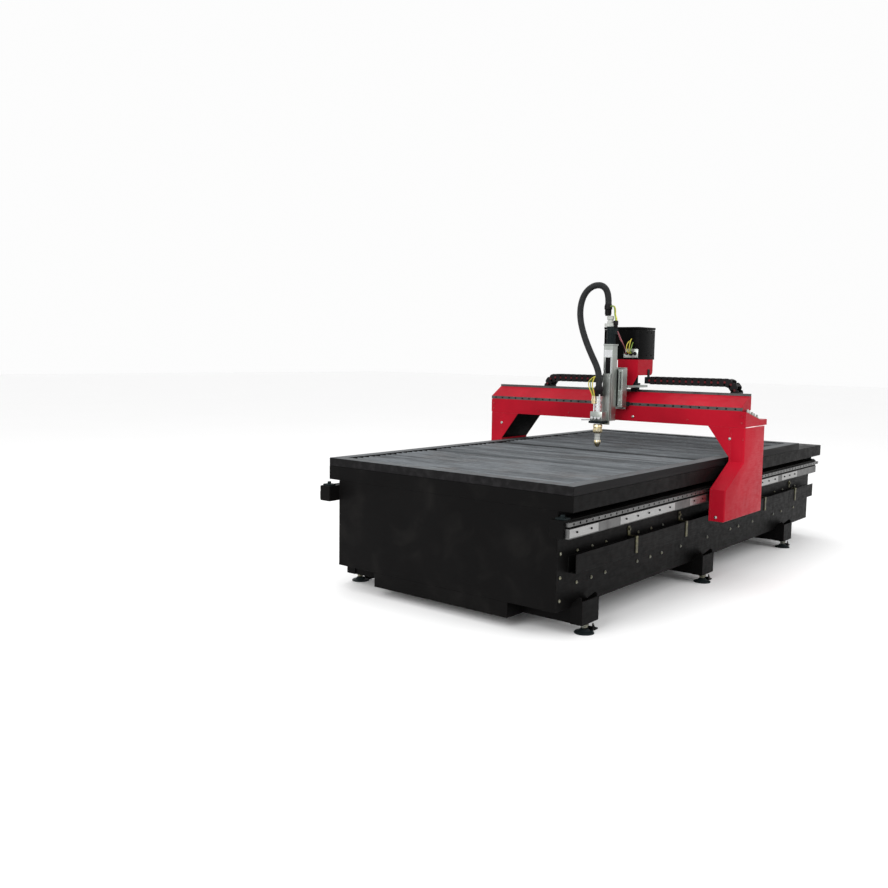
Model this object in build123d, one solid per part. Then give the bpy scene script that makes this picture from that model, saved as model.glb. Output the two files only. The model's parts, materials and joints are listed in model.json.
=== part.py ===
from build123d import *
import math
import os

# Gantry plasma cutting table. Millimetres, +Z up. The origin is on the floor at the
# middle of the outline. X runs along the bed, Y across it, the front long side is -Y.

# ---- driving sizes: table ----
BED_LENGTH = 3210
BED_WIDTH = 1710
FAR_COMPARTMENT = 510
RAIL_OVERHANG = 80
DECK_HEIGHT = 785
RIM_HEIGHT = 49
RIM_TUBE = 80
TRAY_HEIGHT = 81
TRAY_LIP = 85
TRAY_BEARING = 40
SHEET = 5
PANEL_BOTTOM = 142
SLAT_PITCH = 50
SLAT_THICK = 4
SLAT_DEPTH = 100
SLAT_DROP = 4
COMB_THICK = 6
COMB_HEIGHT = 70
DIVIDER_COUNT = 3
DIVIDER_THICK = 30

# ---- driving sizes: base ----
BEAM_FOOT_WIDTH = 150
BEAM_FOOT_HEIGHT = 84
FOOT_NEAR_SETBACK = 220
FOOT_FAR_SETBACK = 620
BRACKET_SHEET = 8
BRACKET_STANDOFF = 70
BRACKET_RISE = 62
PAD_DIAMETER = 105
PAD_HEIGHT = 14
STEM_DIAMETER = 24
LUG_LENGTH = 62
LUG_WIDTH = 40
LUG_SHEET = 6
LUG_FIN = 42
LUG_HOLE = 37.2
ANCHOR_HOLE = 13
PLENUM_WIDTH = 950

# ---- driving sizes: long rails ----
RAIL_BEAM_DEPTH = 80
RAIL_BEAM_HEIGHT = 90
RAIL_TOP_GAP = 30
RAIL_FAR_SETBACK = 90
RAIL_END_MARGIN = 20
RACK_FAR_MARGIN = 60
GUIDE_SIZE = 20
RACK_HEIGHT = 50
RACK_DEPTH = 22
RACK_SEGMENT = 500
BLOCK_LENGTH = 75
BLOCK_WIDTH = 34
BLOCK_SPAN = 400
TROUGH_DEPTH = 50
TROUGH_HEIGHT = 98
TROUGH_DROP = 107
TROUGH_BACK_DROP = 12
TROUGH_FAR_SETBACK = 38
TROUGH_SETBACK = 100
HOOK_WIDTH = 24

# ---- driving sizes: gantry ----
LEG_THICK = 100
LEG_GAP = 30
LEG_FRONT_X = -20
LEG_BACK_X = 310
LEG_FOOT_X = -290
LEG_DROP = 365
LEG_FOOT_DROP = 170
LEG_NECK_DROP = 22
LEG_SHEET = 6
LEG_PLATE = 12
HAUNCH_REACH = 144
HAUNCH_RISE = 6
CROSS_RISE = 195
CROSS_DEPTH = 150
CROSS_HEIGHT = 105
CROSS_WALL = 6
UPPER_RISE = 70
UPPER_LEAN = 115
UPPER_TOP = 40
UPPER_INSET = 30
TOP_GUIDE_WIDTH = 18
TOP_GUIDE_HEIGHT = 15
TRAY_END_INSET = 5
TRAY_DEPTH = 60
TRAY_SHEET = 3
CAP_FRONT_RISE = 103
CAP_BACK_RISE = 42
CAP_BACK_X = 230
CAP_LIP = 32
CAP_SEAM = 5
CHAIN_THICK = 53
CHAIN_WIDTH = 80
CHAIN_BEND_HEIGHT = 189
CHAIN_LIFT = 6
CHAIN_SIDE_GAP = 7
CHAIN_CLIP = 30
CHAIN_FRONT_REACH = 10
CHAIN_BACK_SETBACK = 235
PINION_TEETH = 20
PINION_MODULE = 2

# ---- driving sizes: carriage, lift and torch ----
LIFT_X = -168
LIFT_Y = -104
HOUSING_DEPTH = 65
HOUSING_WIDTH = 65
HOUSING_RISE = 200
HOUSING_HEIGHT = 500
HOUSING_WALL = 6
SLOT_WIDTH = 38
SLOT_LOW_MARGIN = 15
SLOT_HIGH_MARGIN = 80
SADDLE_THICK = 15
SADDLE_WIDTH = 160
SADDLE_PLATE_TRIM = 16
SADDLE_RISE = 80
SADDLE_HEIGHT = 280
ARM_CLEAR = 14
ARM_THICK = 16
ARM_REACH = 190
SIDE_PLATE_DEPTH = 60
SIDE_PLATE_WIDTH = 34
SIDE_PLATE_GAP = 6
CAP_SHEET = 10
CAP_EDGE = 4
SCREW_DIAMETER = 16
MOTOR_DIAMETER = 62
MOTOR_LENGTH = 115
CONNECTOR_HEIGHT = 72
GLAND_HEIGHT = 78
TORCH_X = -260
TORCH_Y = -75
TIP_CLEARANCE = 28
TORCH_LENGTH = 402
NOZZLE_HEIGHT = 46
NOZZLE_NECK = 47
COLLAR_HEIGHT = 58
COLLAR_DIAMETER = 62
NECK_DIAMETER = 40
SLIDE_LENGTH = 340
SLIDE_THICK = 10
HEAD_HEIGHT = 60
TORCH_DIAMETER = 52
NOZZLE_DIAMETER = 46
HOLDER_RISE = 6
HOLDER_WALL = 14
HOLDER_CHEEK = 19
HOLDER_HEIGHT = 78
BOX_DEPTH = 240
BOX_WIDTH = 270
BOX_HEIGHT = 220
BOX_X = 30
BOX_Y = -205
BOX_RISE = 175
BRACKET_LENGTH = 215
BRACKET_SIDE_DROP = 107
BRACKET_FRONT = 156
HOSE_DIAMETER = 43

# ---- clearances ----
SLIDE_CLEARANCE = 0.3
SEAT_GAP = 0.3
RUNNING_GAP = 1.0
SLAT_END_GAP = 5

# ---- places that follow ----
TABLE_LENGTH = BED_LENGTH + FAR_COMPARTMENT
NEAR_X = -(TABLE_LENGTH + RAIL_OVERHANG) / 2 + RAIL_OVERHANG
FAR_X = NEAR_X + TABLE_LENGTH
BED_FAR_X = NEAR_X + BED_LENGTH
HALF_WIDTH = BED_WIDTH / 2
WALL_Y = HALF_WIDTH - TRAY_LIP
RIM_BOTTOM = DECK_HEIGHT - RIM_HEIGHT
TRAY_BOTTOM = RIM_BOTTOM - TRAY_HEIGHT
TRAY_INNER_Y = WALL_Y - TRAY_BEARING
BED_INNER_NEAR = NEAR_X + RIM_TUBE
BED_INNER_FAR = BED_FAR_X - RIM_TUBE
RAIL_TOP = TRAY_BOTTOM - RAIL_TOP_GAP
RAIL_BOTTOM = RAIL_TOP - RAIL_BEAM_HEIGHT
RAIL_FACE_Y = WALL_Y + RAIL_BEAM_DEPTH
GUIDE_TOP = RAIL_TOP - 10
GUIDE_BOTTOM = GUIDE_TOP - GUIDE_SIZE
RACK_BOTTOM = RAIL_BOTTOM
RACK_TOP = RACK_BOTTOM + RACK_HEIGHT
LEG_INNER_Y = HALF_WIDTH + LEG_GAP
LEG_OUTER_Y = LEG_INNER_Y + LEG_THICK
BEAM_FOOT_BOTTOM = PANEL_BOTTOM - BEAM_FOOT_HEIGHT
LEG_BOTTOM = DECK_HEIGHT - LEG_DROP
LEG_FOOT_TOP = DECK_HEIGHT - LEG_FOOT_DROP
LEG_NECK_Z = DECK_HEIGHT - LEG_NECK_DROP
HAUNCH_BOTTOM = DECK_HEIGHT + HAUNCH_RISE
CROSS_BOTTOM = DECK_HEIGHT + CROSS_RISE
CROSS_TOP = CROSS_BOTTOM + CROSS_HEIGHT
CAP_FRONT_TOP = CROSS_BOTTOM + CAP_FRONT_RISE
CAP_BACK_TOP = CROSS_BOTTOM + CAP_BACK_RISE
STRIP_TOP = CROSS_TOP + GUIDE_SIZE
UPPER_TOP_Z = STRIP_TOP + UPPER_RISE
UPPER_BACK_X = LEG_FRONT_X + UPPER_LEAN + UPPER_TOP
TOP_GUIDE_Z = UPPER_TOP_Z + TOP_GUIDE_HEIGHT
TRAY_END_Y = HALF_WIDTH - TRAY_END_INSET
CHAIN_X = UPPER_BACK_X + CHAIN_SIDE_GAP + CHAIN_WIDTH / 2
CHAIN_BOTTOM = CROSS_TOP + CHAIN_LIFT
CHAIN_TOP = CHAIN_BOTTOM + CHAIN_BEND_HEIGHT
CHAIN_FRONT_BEND = -(HALF_WIDTH + CHAIN_FRONT_REACH)
CHAIN_BACK_BEND = HALF_WIDTH - CHAIN_BACK_SETBACK
HOUSING_BOTTOM = DECK_HEIGHT + HOUSING_RISE
HOUSING_TOP = HOUSING_BOTTOM + HOUSING_HEIGHT
SADDLE_BOTTOM = CROSS_BOTTOM + SADDLE_RISE
TORCH_TIP = DECK_HEIGHT + TIP_CLEARANCE
TORCH_TOP = TORCH_TIP + TORCH_LENGTH
COLLAR_TOP = TORCH_TIP + NOZZLE_HEIGHT + NOZZLE_NECK + COLLAR_HEIGHT
HOLDER_BOTTOM = COLLAR_TOP + HOLDER_RISE
HOLDER_TOP = HOLDER_BOTTOM + HOLDER_HEIGHT
HOLDER_HALF = TORCH_DIAMETER / 2 + HOLDER_CHEEK
CASING_FRONT_Y = -(LEG_OUTER_Y - UPPER_INSET)
CASING_BACK_Y = LEG_OUTER_Y
PINION_RADIUS = PINION_TEETH * PINION_MODULE / 2
PINION_TIP = PINION_RADIUS - RUNNING_GAP / 2
FOOT_ENDS = (NEAR_X + FOOT_NEAR_SETBACK, FAR_X - FOOT_FAR_SETBACK)
FOOT_PLACES = [FOOT_ENDS[0], sum(FOOT_ENDS) / 2, FOOT_ENDS[1]]
SIDES = (-1, 1)


def span(x0, x1, y0, y1, z0, z1):
    """Box between two corners, given in any order."""
    size = Box(abs(x1 - x0), abs(y1 - y0), abs(z1 - z0))
    return Pos((x0 + x1) / 2, (y0 + y1) / 2, (z0 + z1) / 2) * size


def upright(x, y, z0, z1, diameter):
    """Round bar standing between two heights."""
    return Pos(x, y, (z0 + z1) / 2) * Cylinder(diameter / 2, z1 - z0)


def across(x, z, y0, y1, diameter):
    """Round bar lying along Y."""
    return Pos(x, (y0 + y1) / 2, z) * Rot(90, 0, 0) * Cylinder(diameter / 2, abs(y1 - y0))


def profile_xz(points, y0, y1):
    """Outline in X and Z, pulled along Y."""
    face = make_face(Polyline([(x, 0, z) for x, z in points], close=True))
    return Pos(0, min(y0, y1), 0) * extrude(face, abs(y1 - y0), dir=(0, 1, 0))


def profile_yz(points, x0, x1):
    """Outline in Y and Z, pulled along X."""
    face = make_face(Polyline([(0, y, z) for y, z in points], close=True))
    return Pos(x0, 0, 0) * extrude(face, x1 - x0, dir=(1, 0, 0))


def ring(x0, x1, half, z0, z1, wall_x, wall_y):
    """Rectangular frame around the bed."""
    outer = span(x0, x1, -half, half, z0, z1)
    inner = span(x0 + wall_x, x1 - wall_x, -half + wall_y, half - wall_y, z0 - 1, z1 + 1)
    return outer - inner


def save(name, *solids):
    """Write one node, one or more separate solids."""
    shapes = []
    for item in solids:
        shapes.extend(item.solids())
    node = shapes[0] if len(shapes) == 1 else Compound(children=shapes)
    export_step(node, f"parts/{name}.step")


# ---- table ----
def tray_frame():
    return ring(NEAR_X, FAR_X, HALF_WIDTH, TRAY_BOTTOM, RIM_BOTTOM, RIM_TUBE, HALF_WIDTH - TRAY_INNER_Y)


def rim_frame():
    return ring(NEAR_X, BED_FAR_X, HALF_WIDTH, RIM_BOTTOM, DECK_HEIGHT, RIM_TUBE, RIM_TUBE)


def deck_ledge():
    return span(BED_INNER_FAR, FAR_X - RIM_TUBE, -TRAY_INNER_Y, TRAY_INNER_Y, RIM_BOTTOM - SHEET, RIM_BOTTOM)


def side_panel(side):
    return span(NEAR_X, FAR_X, side * WALL_Y, side * (WALL_Y - SHEET), PANEL_BOTTOM, TRAY_BOTTOM)


def end_panels():
    inner = WALL_Y - SHEET
    near = span(NEAR_X, NEAR_X + SHEET, -inner, inner, PANEL_BOTTOM, TRAY_BOTTOM)
    far = span(FAR_X - SHEET, FAR_X, -inner, inner, PANEL_BOTTOM, TRAY_BOTTOM)
    return near, far


COMB_Y = TRAY_INNER_Y - COMB_THICK
SLAT_END_Y = HALF_WIDTH - RIM_TUBE - SLAT_END_GAP
SLAT_TOP = DECK_HEIGHT - SLAT_DROP
SLAT_BOTTOM = SLAT_TOP - SLAT_DEPTH
COMB_TOP = SLAT_BOTTOM + COMB_HEIGHT / 2
COMB_BOTTOM = COMB_TOP - COMB_HEIGHT


def divider_places():
    step = (BED_INNER_FAR - BED_INNER_NEAR) / (DIVIDER_COUNT + 1)
    return [BED_INNER_NEAR + step * (i + 1) for i in range(DIVIDER_COUNT)]


def slat_places():
    count = int((BED_INNER_FAR - BED_INNER_NEAR) / SLAT_PITCH)
    start = (BED_INNER_NEAR + BED_INNER_FAR - (count - 1) * SLAT_PITCH) / 2
    clear = DIVIDER_THICK / 2 + SLAT_THICK / 2 + RUNNING_GAP
    places = [start + i * SLAT_PITCH for i in range(count)]
    return [x for x in places if all(abs(x - d) > clear for d in divider_places())]


def slats():
    """Upright strips whose ears lie over the tray and whose lower part sits in the combs."""
    half = SLAT_THICK / 2
    ear = RIM_BOTTOM + SEAT_GAP
    low = TRAY_INNER_Y - SEAT_GAP
    outline = [(-SLAT_END_Y, SLAT_TOP), (SLAT_END_Y, SLAT_TOP), (SLAT_END_Y, ear), (low, ear),
               (low, SLAT_BOTTOM), (-low, SLAT_BOTTOM), (-low, ear), (-SLAT_END_Y, ear)]
    return [profile_yz(outline, x - half, x + half) for x in slat_places()]


def slat_combs():
    bars = []
    half = SLAT_THICK / 2 + SLIDE_CLEARANCE
    for side in SIDES:
        bar = span(BED_INNER_NEAR, BED_INNER_FAR, side * COMB_Y, side * (COMB_Y + COMB_THICK),
                   COMB_BOTTOM, COMB_TOP)
        cuts = [span(x - half, x + half, side * (COMB_Y - 1), side * (COMB_Y + COMB_THICK + 1),
                     SLAT_BOTTOM, COMB_TOP + 1) for x in slat_places()]
        bars.append(bar - cuts)
    return bars


def zone_dividers():
    half = DIVIDER_THICK / 2
    top = COMB_TOP - COMB_HEIGHT / 2 - 10
    reach = COMB_Y - SEAT_GAP
    return [span(x - half, x + half, -reach, reach, top - 60, top) for x in divider_places()]


def slag_trays():
    """One sloping tray to each zone, its two sheets meeting in a trough along the middle."""
    edges = [NEAR_X + SHEET] + divider_places() + [BED_INNER_FAR]
    trays = []
    top_z = COMB_BOTTOM - 45
    low_z = PANEL_BOTTOM + 150
    half_low = 140
    reach = WALL_Y - SHEET
    outline = [(-reach, top_z), (-half_low, low_z), (half_low, low_z), (reach, top_z)]
    inside = [(y, z + SHEET) for y, z in reversed(outline)]
    for x0, x1 in zip(edges, edges[1:]):
        trays.append(profile_yz(outline + inside, x0 + 10, x1 - 10))
    return trays


def fume_plenum():
    low = BEAM_FOOT_BOTTOM
    half = PLENUM_WIDTH / 2
    x1 = FOOT_PLACES[0] - BEAM_FOOT_WIDTH / 2
    outer = span(NEAR_X, x1, -half, half, low, PANEL_BOTTOM)
    inner = span(NEAR_X + SHEET, x1 - SHEET, -half + SHEET, half - SHEET, low + SHEET, PANEL_BOTTOM - SHEET)
    return outer - inner


def cross_beams():
    half = BEAM_FOOT_WIDTH / 2
    reach = WALL_Y + BRACKET_STANDOFF - BRACKET_SHEET
    beams = []
    for x in FOOT_PLACES:
        outer = span(x - half, x + half, -reach, reach, BEAM_FOOT_BOTTOM, PANEL_BOTTOM)
        bore = span(x - half + 6, x + half - 6, -reach - 1, reach + 1, BEAM_FOOT_BOTTOM + 6, PANEL_BOTTOM - 6)
        beams.append(outer - bore)
    return beams


def leg_bracket(x, side):
    """Gabled end plate and two cheeks that hold a cross beam's end to the wall."""
    half = BEAM_FOOT_WIDTH / 2 + BRACKET_SHEET
    top = PANEL_BOTTOM + BRACKET_RISE
    outer_y = WALL_Y + BRACKET_STANDOFF
    plate = span(x - half, x + half, side * outer_y, side * (outer_y - BRACKET_SHEET), BEAM_FOOT_BOTTOM, top - 20)
    inner_y = side * (outer_y - BRACKET_SHEET)
    slope = [(side * WALL_Y, BEAM_FOOT_BOTTOM), (inner_y, BEAM_FOOT_BOTTOM), (inner_y, top - 6),
             (side * (outer_y - BRACKET_SHEET - 14), top), (side * WALL_Y, top - 45)]
    cheeks = [profile_yz(slope, x + s * half - (BRACKET_SHEET if s > 0 else 0),
                         x + s * half + (0 if s > 0 else BRACKET_SHEET)) for s in SIDES]
    return plate + cheeks[0] + cheeks[1]


STEM_Y = WALL_Y + BRACKET_STANDOFF / 2


def foot_stem(x, side):
    rod = upright(x, side * STEM_Y, PAD_HEIGHT, BEAM_FOOT_BOTTOM, STEM_DIAMETER)
    nut = Pos(x, side * STEM_Y, BEAM_FOOT_BOTTOM - 9) * extrude(RegularPolygon(20, 6), 9)
    return rod + nut


def foot_pad(x, side):
    disc = upright(x, side * STEM_Y, 0, PAD_HEIGHT, PAD_DIAMETER)
    return chamfer(disc.edges().group_by(Axis.Z)[-1], 4)


def anchor_lug(x, side):
    """Floor lug beside the pad, open for an anchor bolt, with an upright fin."""
    x0 = x + PAD_DIAMETER / 2 + SEAT_GAP
    y = side * STEM_Y
    plate = span(x0, x0 + LUG_LENGTH, y - LUG_WIDTH / 2, y + LUG_WIDTH / 2, 0, LUG_SHEET)
    plate = fillet(plate.edges().filter_by(Axis.Z).group_by(Axis.X)[-1], 12)
    lip = span(x0, x0 + LUG_SHEET, y - LUG_WIDTH / 2, y + LUG_WIDTH / 2, 0, PAD_HEIGHT + 10)
    fin = profile_xz([(x0, LUG_SHEET), (x0 + LUG_LENGTH * 0.5, LUG_SHEET), (x0 + LUG_SHEET, LUG_FIN)],
                     y - LUG_WIDTH / 2, y - LUG_WIDTH / 2 + LUG_SHEET)
    hole = upright(x0 + LUG_HOLE, y, -1, LUG_SHEET + 1, ANCHOR_HOLE)
    return plate + lip + fin - hole


# ---- long rails ----
RAIL_NEAR_X = NEAR_X - RAIL_OVERHANG
RAIL_FAR_X = FAR_X - RAIL_FAR_SETBACK


def rail_beam(side):
    outer = span(RAIL_NEAR_X, RAIL_FAR_X, side * WALL_Y, side * RAIL_FACE_Y, RAIL_BOTTOM, RAIL_TOP)
    bore = span(RAIL_NEAR_X + 8, RAIL_FAR_X - 8, side * (WALL_Y + 8), side * (RAIL_FACE_Y - 8),
                RAIL_BOTTOM + 8, RAIL_TOP - 8)
    return outer - bore


def guide_rail(side):
    face = side * RAIL_FACE_Y
    tip = side * (RAIL_FACE_Y + GUIDE_SIZE)
    return span(RAIL_NEAR_X + RAIL_END_MARGIN, RAIL_FAR_X, face, tip, GUIDE_BOTTOM, GUIDE_TOP)


def rack(side):
    """Rack bars laid end to end under the guide rail."""
    bars = []
    face = side * RAIL_FACE_Y
    x = RAIL_NEAR_X + RAIL_END_MARGIN
    last = RAIL_FAR_X - RACK_FAR_MARGIN
    while x < last:
        end = min(x + RACK_SEGMENT, last)
        bars.append(span(x, end - SLIDE_CLEARANCE, face, side * (RAIL_FACE_Y + RACK_DEPTH),
                         RACK_BOTTOM, RACK_TOP))
        x = end
    return bars


def end_stops():
    stops = []
    for side in SIDES:
        for x in (RAIL_NEAR_X + 45, RAIL_FAR_X - 45):
            base = span(x - 25, x + 25, side * (RAIL_FACE_Y - 60), side * (RAIL_FACE_Y - 4),
                        RAIL_TOP, RAIL_TOP + 8)
            stud = upright(x, side * (RAIL_FACE_Y - 32), RAIL_TOP + 8, RAIL_TOP + 22, 22)
            stops.append(base + stud)
    return stops


TROUGH_TOP = RAIL_BOTTOM - TROUGH_DROP
TROUGH_BOTTOM = TROUGH_TOP - TROUGH_HEIGHT


def cable_trough():
    x0 = NEAR_X + TROUGH_SETBACK
    y0 = -WALL_Y
    y1 = -WALL_Y - TROUGH_DEPTH
    x1 = FAR_X - TROUGH_FAR_SETBACK
    wall = 4
    outer = span(x0, x1, y0, y1, TROUGH_BOTTOM, TROUGH_TOP)
    bore = span(x0 - 1, x1 + 1, y0 - wall, y1 + wall, TROUGH_BOTTOM + wall, TROUGH_TOP + 1)
    low_back = span(x0 - 1, x1 + 1, y0 + 1, y0 - wall - 1, TROUGH_TOP - TROUGH_BACK_DROP, TROUGH_TOP + 1)
    return outer - bore - low_back


HOOK_PLACES = [NEAR_X + 716, NEAR_X + 1348, FAR_X - 1080, FAR_X - 458]


def trough_hook(x):
    """Strap that hangs over the trough's outer lip, screwed to the wall above it."""
    y = -WALL_Y
    sheet = 5
    out = y - TROUGH_DEPTH - SEAT_GAP - sheet
    low = TROUGH_TOP + SEAT_GAP
    tab = span(x, x + HOOK_WIDTH, y, y - sheet, low, low + 55)
    arm = span(x, x + HOOK_WIDTH, y, out, low, low + sheet)
    drop = span(x, x + HOOK_WIDTH, out, out + sheet, TROUGH_BOTTOM + 8, low + sheet)
    screw = across(x + HOOK_WIDTH / 2, low + 38, y - sheet, y - sheet - 8, 16)
    return tab + arm + drop + screw


BOLT_DIAMETER = 18
BOLT_HEAD = 7
BOLT_ROW_TOP = TROUGH_TOP - TROUGH_BACK_DROP + BOLT_DIAMETER / 2 + 6
BOLT_ROW_BOTTOM = TROUGH_BOTTOM - 65
CORNER_BOLTS = [PANEL_BOTTOM + d for d in (295, 173, 55)]
BOLT_PLACES = [NEAR_X + d for d in (190, 336, 481, 841, 999, 1145, 1400, 1791)]
BOLT_PLACES += [FAR_X - d for d in (1556, 1415, 1160, 752, 587, 320)]


def panel_bolts():
    """Bolt heads above and below the trough, in groups, and up the near corner."""
    bolts = []
    for x in BOLT_PLACES:
        for z in (BOLT_ROW_TOP, BOLT_ROW_BOTTOM):
            if any(-14 < x - h < HOOK_WIDTH + 14 for h in HOOK_PLACES) and z > TROUGH_BOTTOM:
                continue
            bolts.append(across(x, z, -WALL_Y, -WALL_Y - BOLT_HEAD, BOLT_DIAMETER))
        bolts.append(across(x, BOLT_ROW_BOTTOM, WALL_Y, WALL_Y + BOLT_HEAD, BOLT_DIAMETER))
    for z in CORNER_BOLTS:
        bolts.append(across(NEAR_X + 30, z, -WALL_Y, -WALL_Y - BOLT_HEAD, BOLT_DIAMETER))
    return bolts


# ---- gantry ----
def leg_outline():
    top = CROSS_BOTTOM
    return [(LEG_FOOT_X, LEG_BOTTOM), (LEG_BACK_X, LEG_BOTTOM), (LEG_BACK_X, top),
            (LEG_FRONT_X, top), (LEG_FRONT_X, LEG_NECK_Z), (LEG_FOOT_X, LEG_FOOT_TOP)]


def shrink(points, amount):
    """Outline moved inwards by a wall's thickness."""
    face = make_face(Polyline([(x, z) for x, z in points], close=True))
    inner = offset(face, -amount, kind=Kind.INTERSECTION)
    return inner.faces()[0]


def leg(side):
    """Welded leg: outer sheet, edge walls and the haunch that carries the cross beam."""
    y_out = side * LEG_OUTER_Y
    y_in = side * (LEG_INNER_Y + LEG_PLATE)
    body = profile_xz(leg_outline(), y_out, y_in)
    hollow_face = Rot(90, 0, 0) * shrink(leg_outline(), LEG_SHEET)
    depth = LEG_THICK - LEG_PLATE - LEG_SHEET + 1
    start = min(side * (LEG_OUTER_Y - LEG_SHEET), side * (LEG_INNER_Y + LEG_PLATE - 1))
    hollow = Pos(0, start, 0) * extrude(hollow_face, depth, dir=(0, 1, 0))
    return body - hollow


def haunch(side):
    inner = LEG_INNER_Y
    reach = inner - HAUNCH_REACH
    outline = [(side * inner, HAUNCH_BOTTOM), (side * inner, CROSS_BOTTOM), (side * reach, CROSS_BOTTOM)]
    solid = profile_yz(outline, LEG_FRONT_X, LEG_BACK_X)
    slope = math.atan2(CROSS_BOTTOM - HAUNCH_BOTTOM, HAUNCH_REACH)
    inset = LEG_SHEET / math.sin(slope)
    cut = [(side * (inner + 1), HAUNCH_BOTTOM + inset * math.tan(slope)), (side * (inner + 1), CROSS_BOTTOM + 1),
           (side * (reach + inset), CROSS_BOTTOM + 1)]
    hollow = profile_yz(cut, LEG_FRONT_X + LEG_SHEET, LEG_BACK_X - LEG_SHEET)
    return solid - hollow


PINION_Z = RACK_BOTTOM - PINION_RADIUS
PINION_X = 10
PINION_Y0 = RAIL_FACE_Y + 2
PINION_Y1 = RAIL_FACE_Y + RACK_DEPTH - 2


def leg_plate(side):
    y0 = side * LEG_INNER_Y
    y1 = side * (LEG_INNER_Y + LEG_PLATE)
    plate = profile_xz(leg_outline(), y0, y1)
    hole = across(PINION_X, PINION_Z, side * (LEG_INNER_Y - 1), side * (LEG_INNER_Y + LEG_PLATE + 1), 46)
    return plate - hole


def guide_blocks():
    blocks = []
    mid = (LEG_FOOT_X + LEG_BACK_X) / 2
    for side in SIDES:
        for s in SIDES:
            x = mid + s * BLOCK_SPAN / 2
            y0 = side * (RAIL_FACE_Y + 5)
            y1 = side * LEG_INNER_Y
            z_mid = (GUIDE_BOTTOM + GUIDE_TOP) / 2
            outer = span(x - BLOCK_LENGTH / 2, x + BLOCK_LENGTH / 2, y0, y1,
                         z_mid - BLOCK_WIDTH / 2, z_mid + BLOCK_WIDTH / 2)
            gap = GUIDE_SIZE / 2 + SLIDE_CLEARANCE
            groove = span(x - BLOCK_LENGTH, x + BLOCK_LENGTH, side * (RAIL_FACE_Y - 1),
                          side * (RAIL_FACE_Y + GUIDE_SIZE + SLIDE_CLEARANCE), z_mid - gap, z_mid + gap)
            blocks.append(outer - groove)
    return blocks


def leg_drive(side):
    """Right-angle gearbox on the inner plate with its motor standing inside the leg."""
    y0 = side * (LEG_INNER_Y + LEG_PLATE)
    y1 = side * (LEG_INNER_Y + LEG_PLATE + 70)
    box = span(PINION_X - 35, PINION_X + 35, y0, y1, PINION_Z - 40, PINION_Z + 40)
    ym = (y0 + y1) / 2
    motor = upright(PINION_X, ym, PINION_Z + 40, PINION_Z + 190, 60)
    shaft = across(PINION_X, PINION_Z, side * (PINION_Y1 + SLIDE_CLEARANCE), y0, 16)
    return box + motor + shaft


def pinion_disc(length):
    """Toothed wheel lying on the XY plane."""
    root = Cylinder(PINION_RADIUS - 1.25 * PINION_MODULE, length)
    tip_width = PINION_MODULE * 1.2
    base = Box(2 * PINION_TIP, tip_width, length)
    rotated = [Rot(0, 0, 360 / PINION_TEETH * i) * base for i in range(PINION_TEETH // 2)]
    return root + rotated


def leg_pinion(side):
    length = PINION_Y1 - PINION_Y0
    wheel = Rot(90, 0, 0) * pinion_disc(length)
    return Pos(PINION_X, side * (PINION_Y0 + PINION_Y1) / 2, PINION_Z) * wheel


def end_bevel(side):
    """Wedge taken off the beam's top at each end, along the slope of the end plate."""
    x1 = LEG_FRONT_X + CROSS_DEPTH + 1
    slope = (CAP_FRONT_TOP - CAP_BACK_TOP) / (CAP_BACK_X - LEG_FRONT_X)
    z1 = CAP_FRONT_TOP - slope * (x1 - LEG_FRONT_X)
    top = CROSS_TOP + 1
    wedge = [(LEG_FRONT_X - 1, CAP_FRONT_TOP), (x1, z1), (x1, top), (LEG_FRONT_X - 1, top)]
    return profile_xz(wedge, side * LEG_OUTER_Y, side * (LEG_OUTER_Y - UPPER_INSET - LEG_SHEET))


def cross_beam_body():
    """Box beam between the legs with the leaning upper casing welded on it."""
    reach = LEG_OUTER_Y - LEG_SHEET
    x0 = LEG_FRONT_X
    x1 = LEG_FRONT_X + CROSS_DEPTH
    outer = span(x0, x1, -reach, reach, CROSS_BOTTOM, CROSS_TOP)
    outer = outer - end_bevel(-1)
    bore = span(x0 + CROSS_WALL, x1 - CROSS_WALL, -reach - 1, reach + 1,
                CROSS_BOTTOM + CROSS_WALL, CROSS_TOP - CROSS_WALL)
    return outer - bore


def upper_casing():
    x0 = LEG_FRONT_X
    outline = [(x0 + GUIDE_SIZE, CROSS_TOP), (x0 + GUIDE_SIZE, STRIP_TOP), (x0, STRIP_TOP),
               (x0 + UPPER_LEAN, UPPER_TOP_Z), (UPPER_BACK_X, UPPER_TOP_Z), (UPPER_BACK_X, CROSS_TOP)]
    return profile_xz(outline, CASING_FRONT_Y, CASING_BACK_Y)


def beam_guides():
    """Lower guide on the ledge under the casing, upper guide on the casing's top edge."""
    x0 = LEG_FRONT_X
    low = span(x0, x0 + GUIDE_SIZE, CASING_FRONT_Y, CASING_BACK_Y, CROSS_TOP, STRIP_TOP)
    xt = LEG_FRONT_X + UPPER_LEAN
    high = span(xt, xt + TOP_GUIDE_WIDTH, CASING_FRONT_Y, CASING_BACK_Y, UPPER_TOP_Z, TOP_GUIDE_Z)
    return low, high


RACK_TOP_X0 = LEG_FRONT_X + UPPER_LEAN + TOP_GUIDE_WIDTH + 4
RACK_TOP_X1 = UPPER_BACK_X


def beam_rack():
    return span(RACK_TOP_X0, RACK_TOP_X1, CASING_FRONT_Y, CASING_BACK_Y, UPPER_TOP_Z, TOP_GUIDE_Z)


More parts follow.
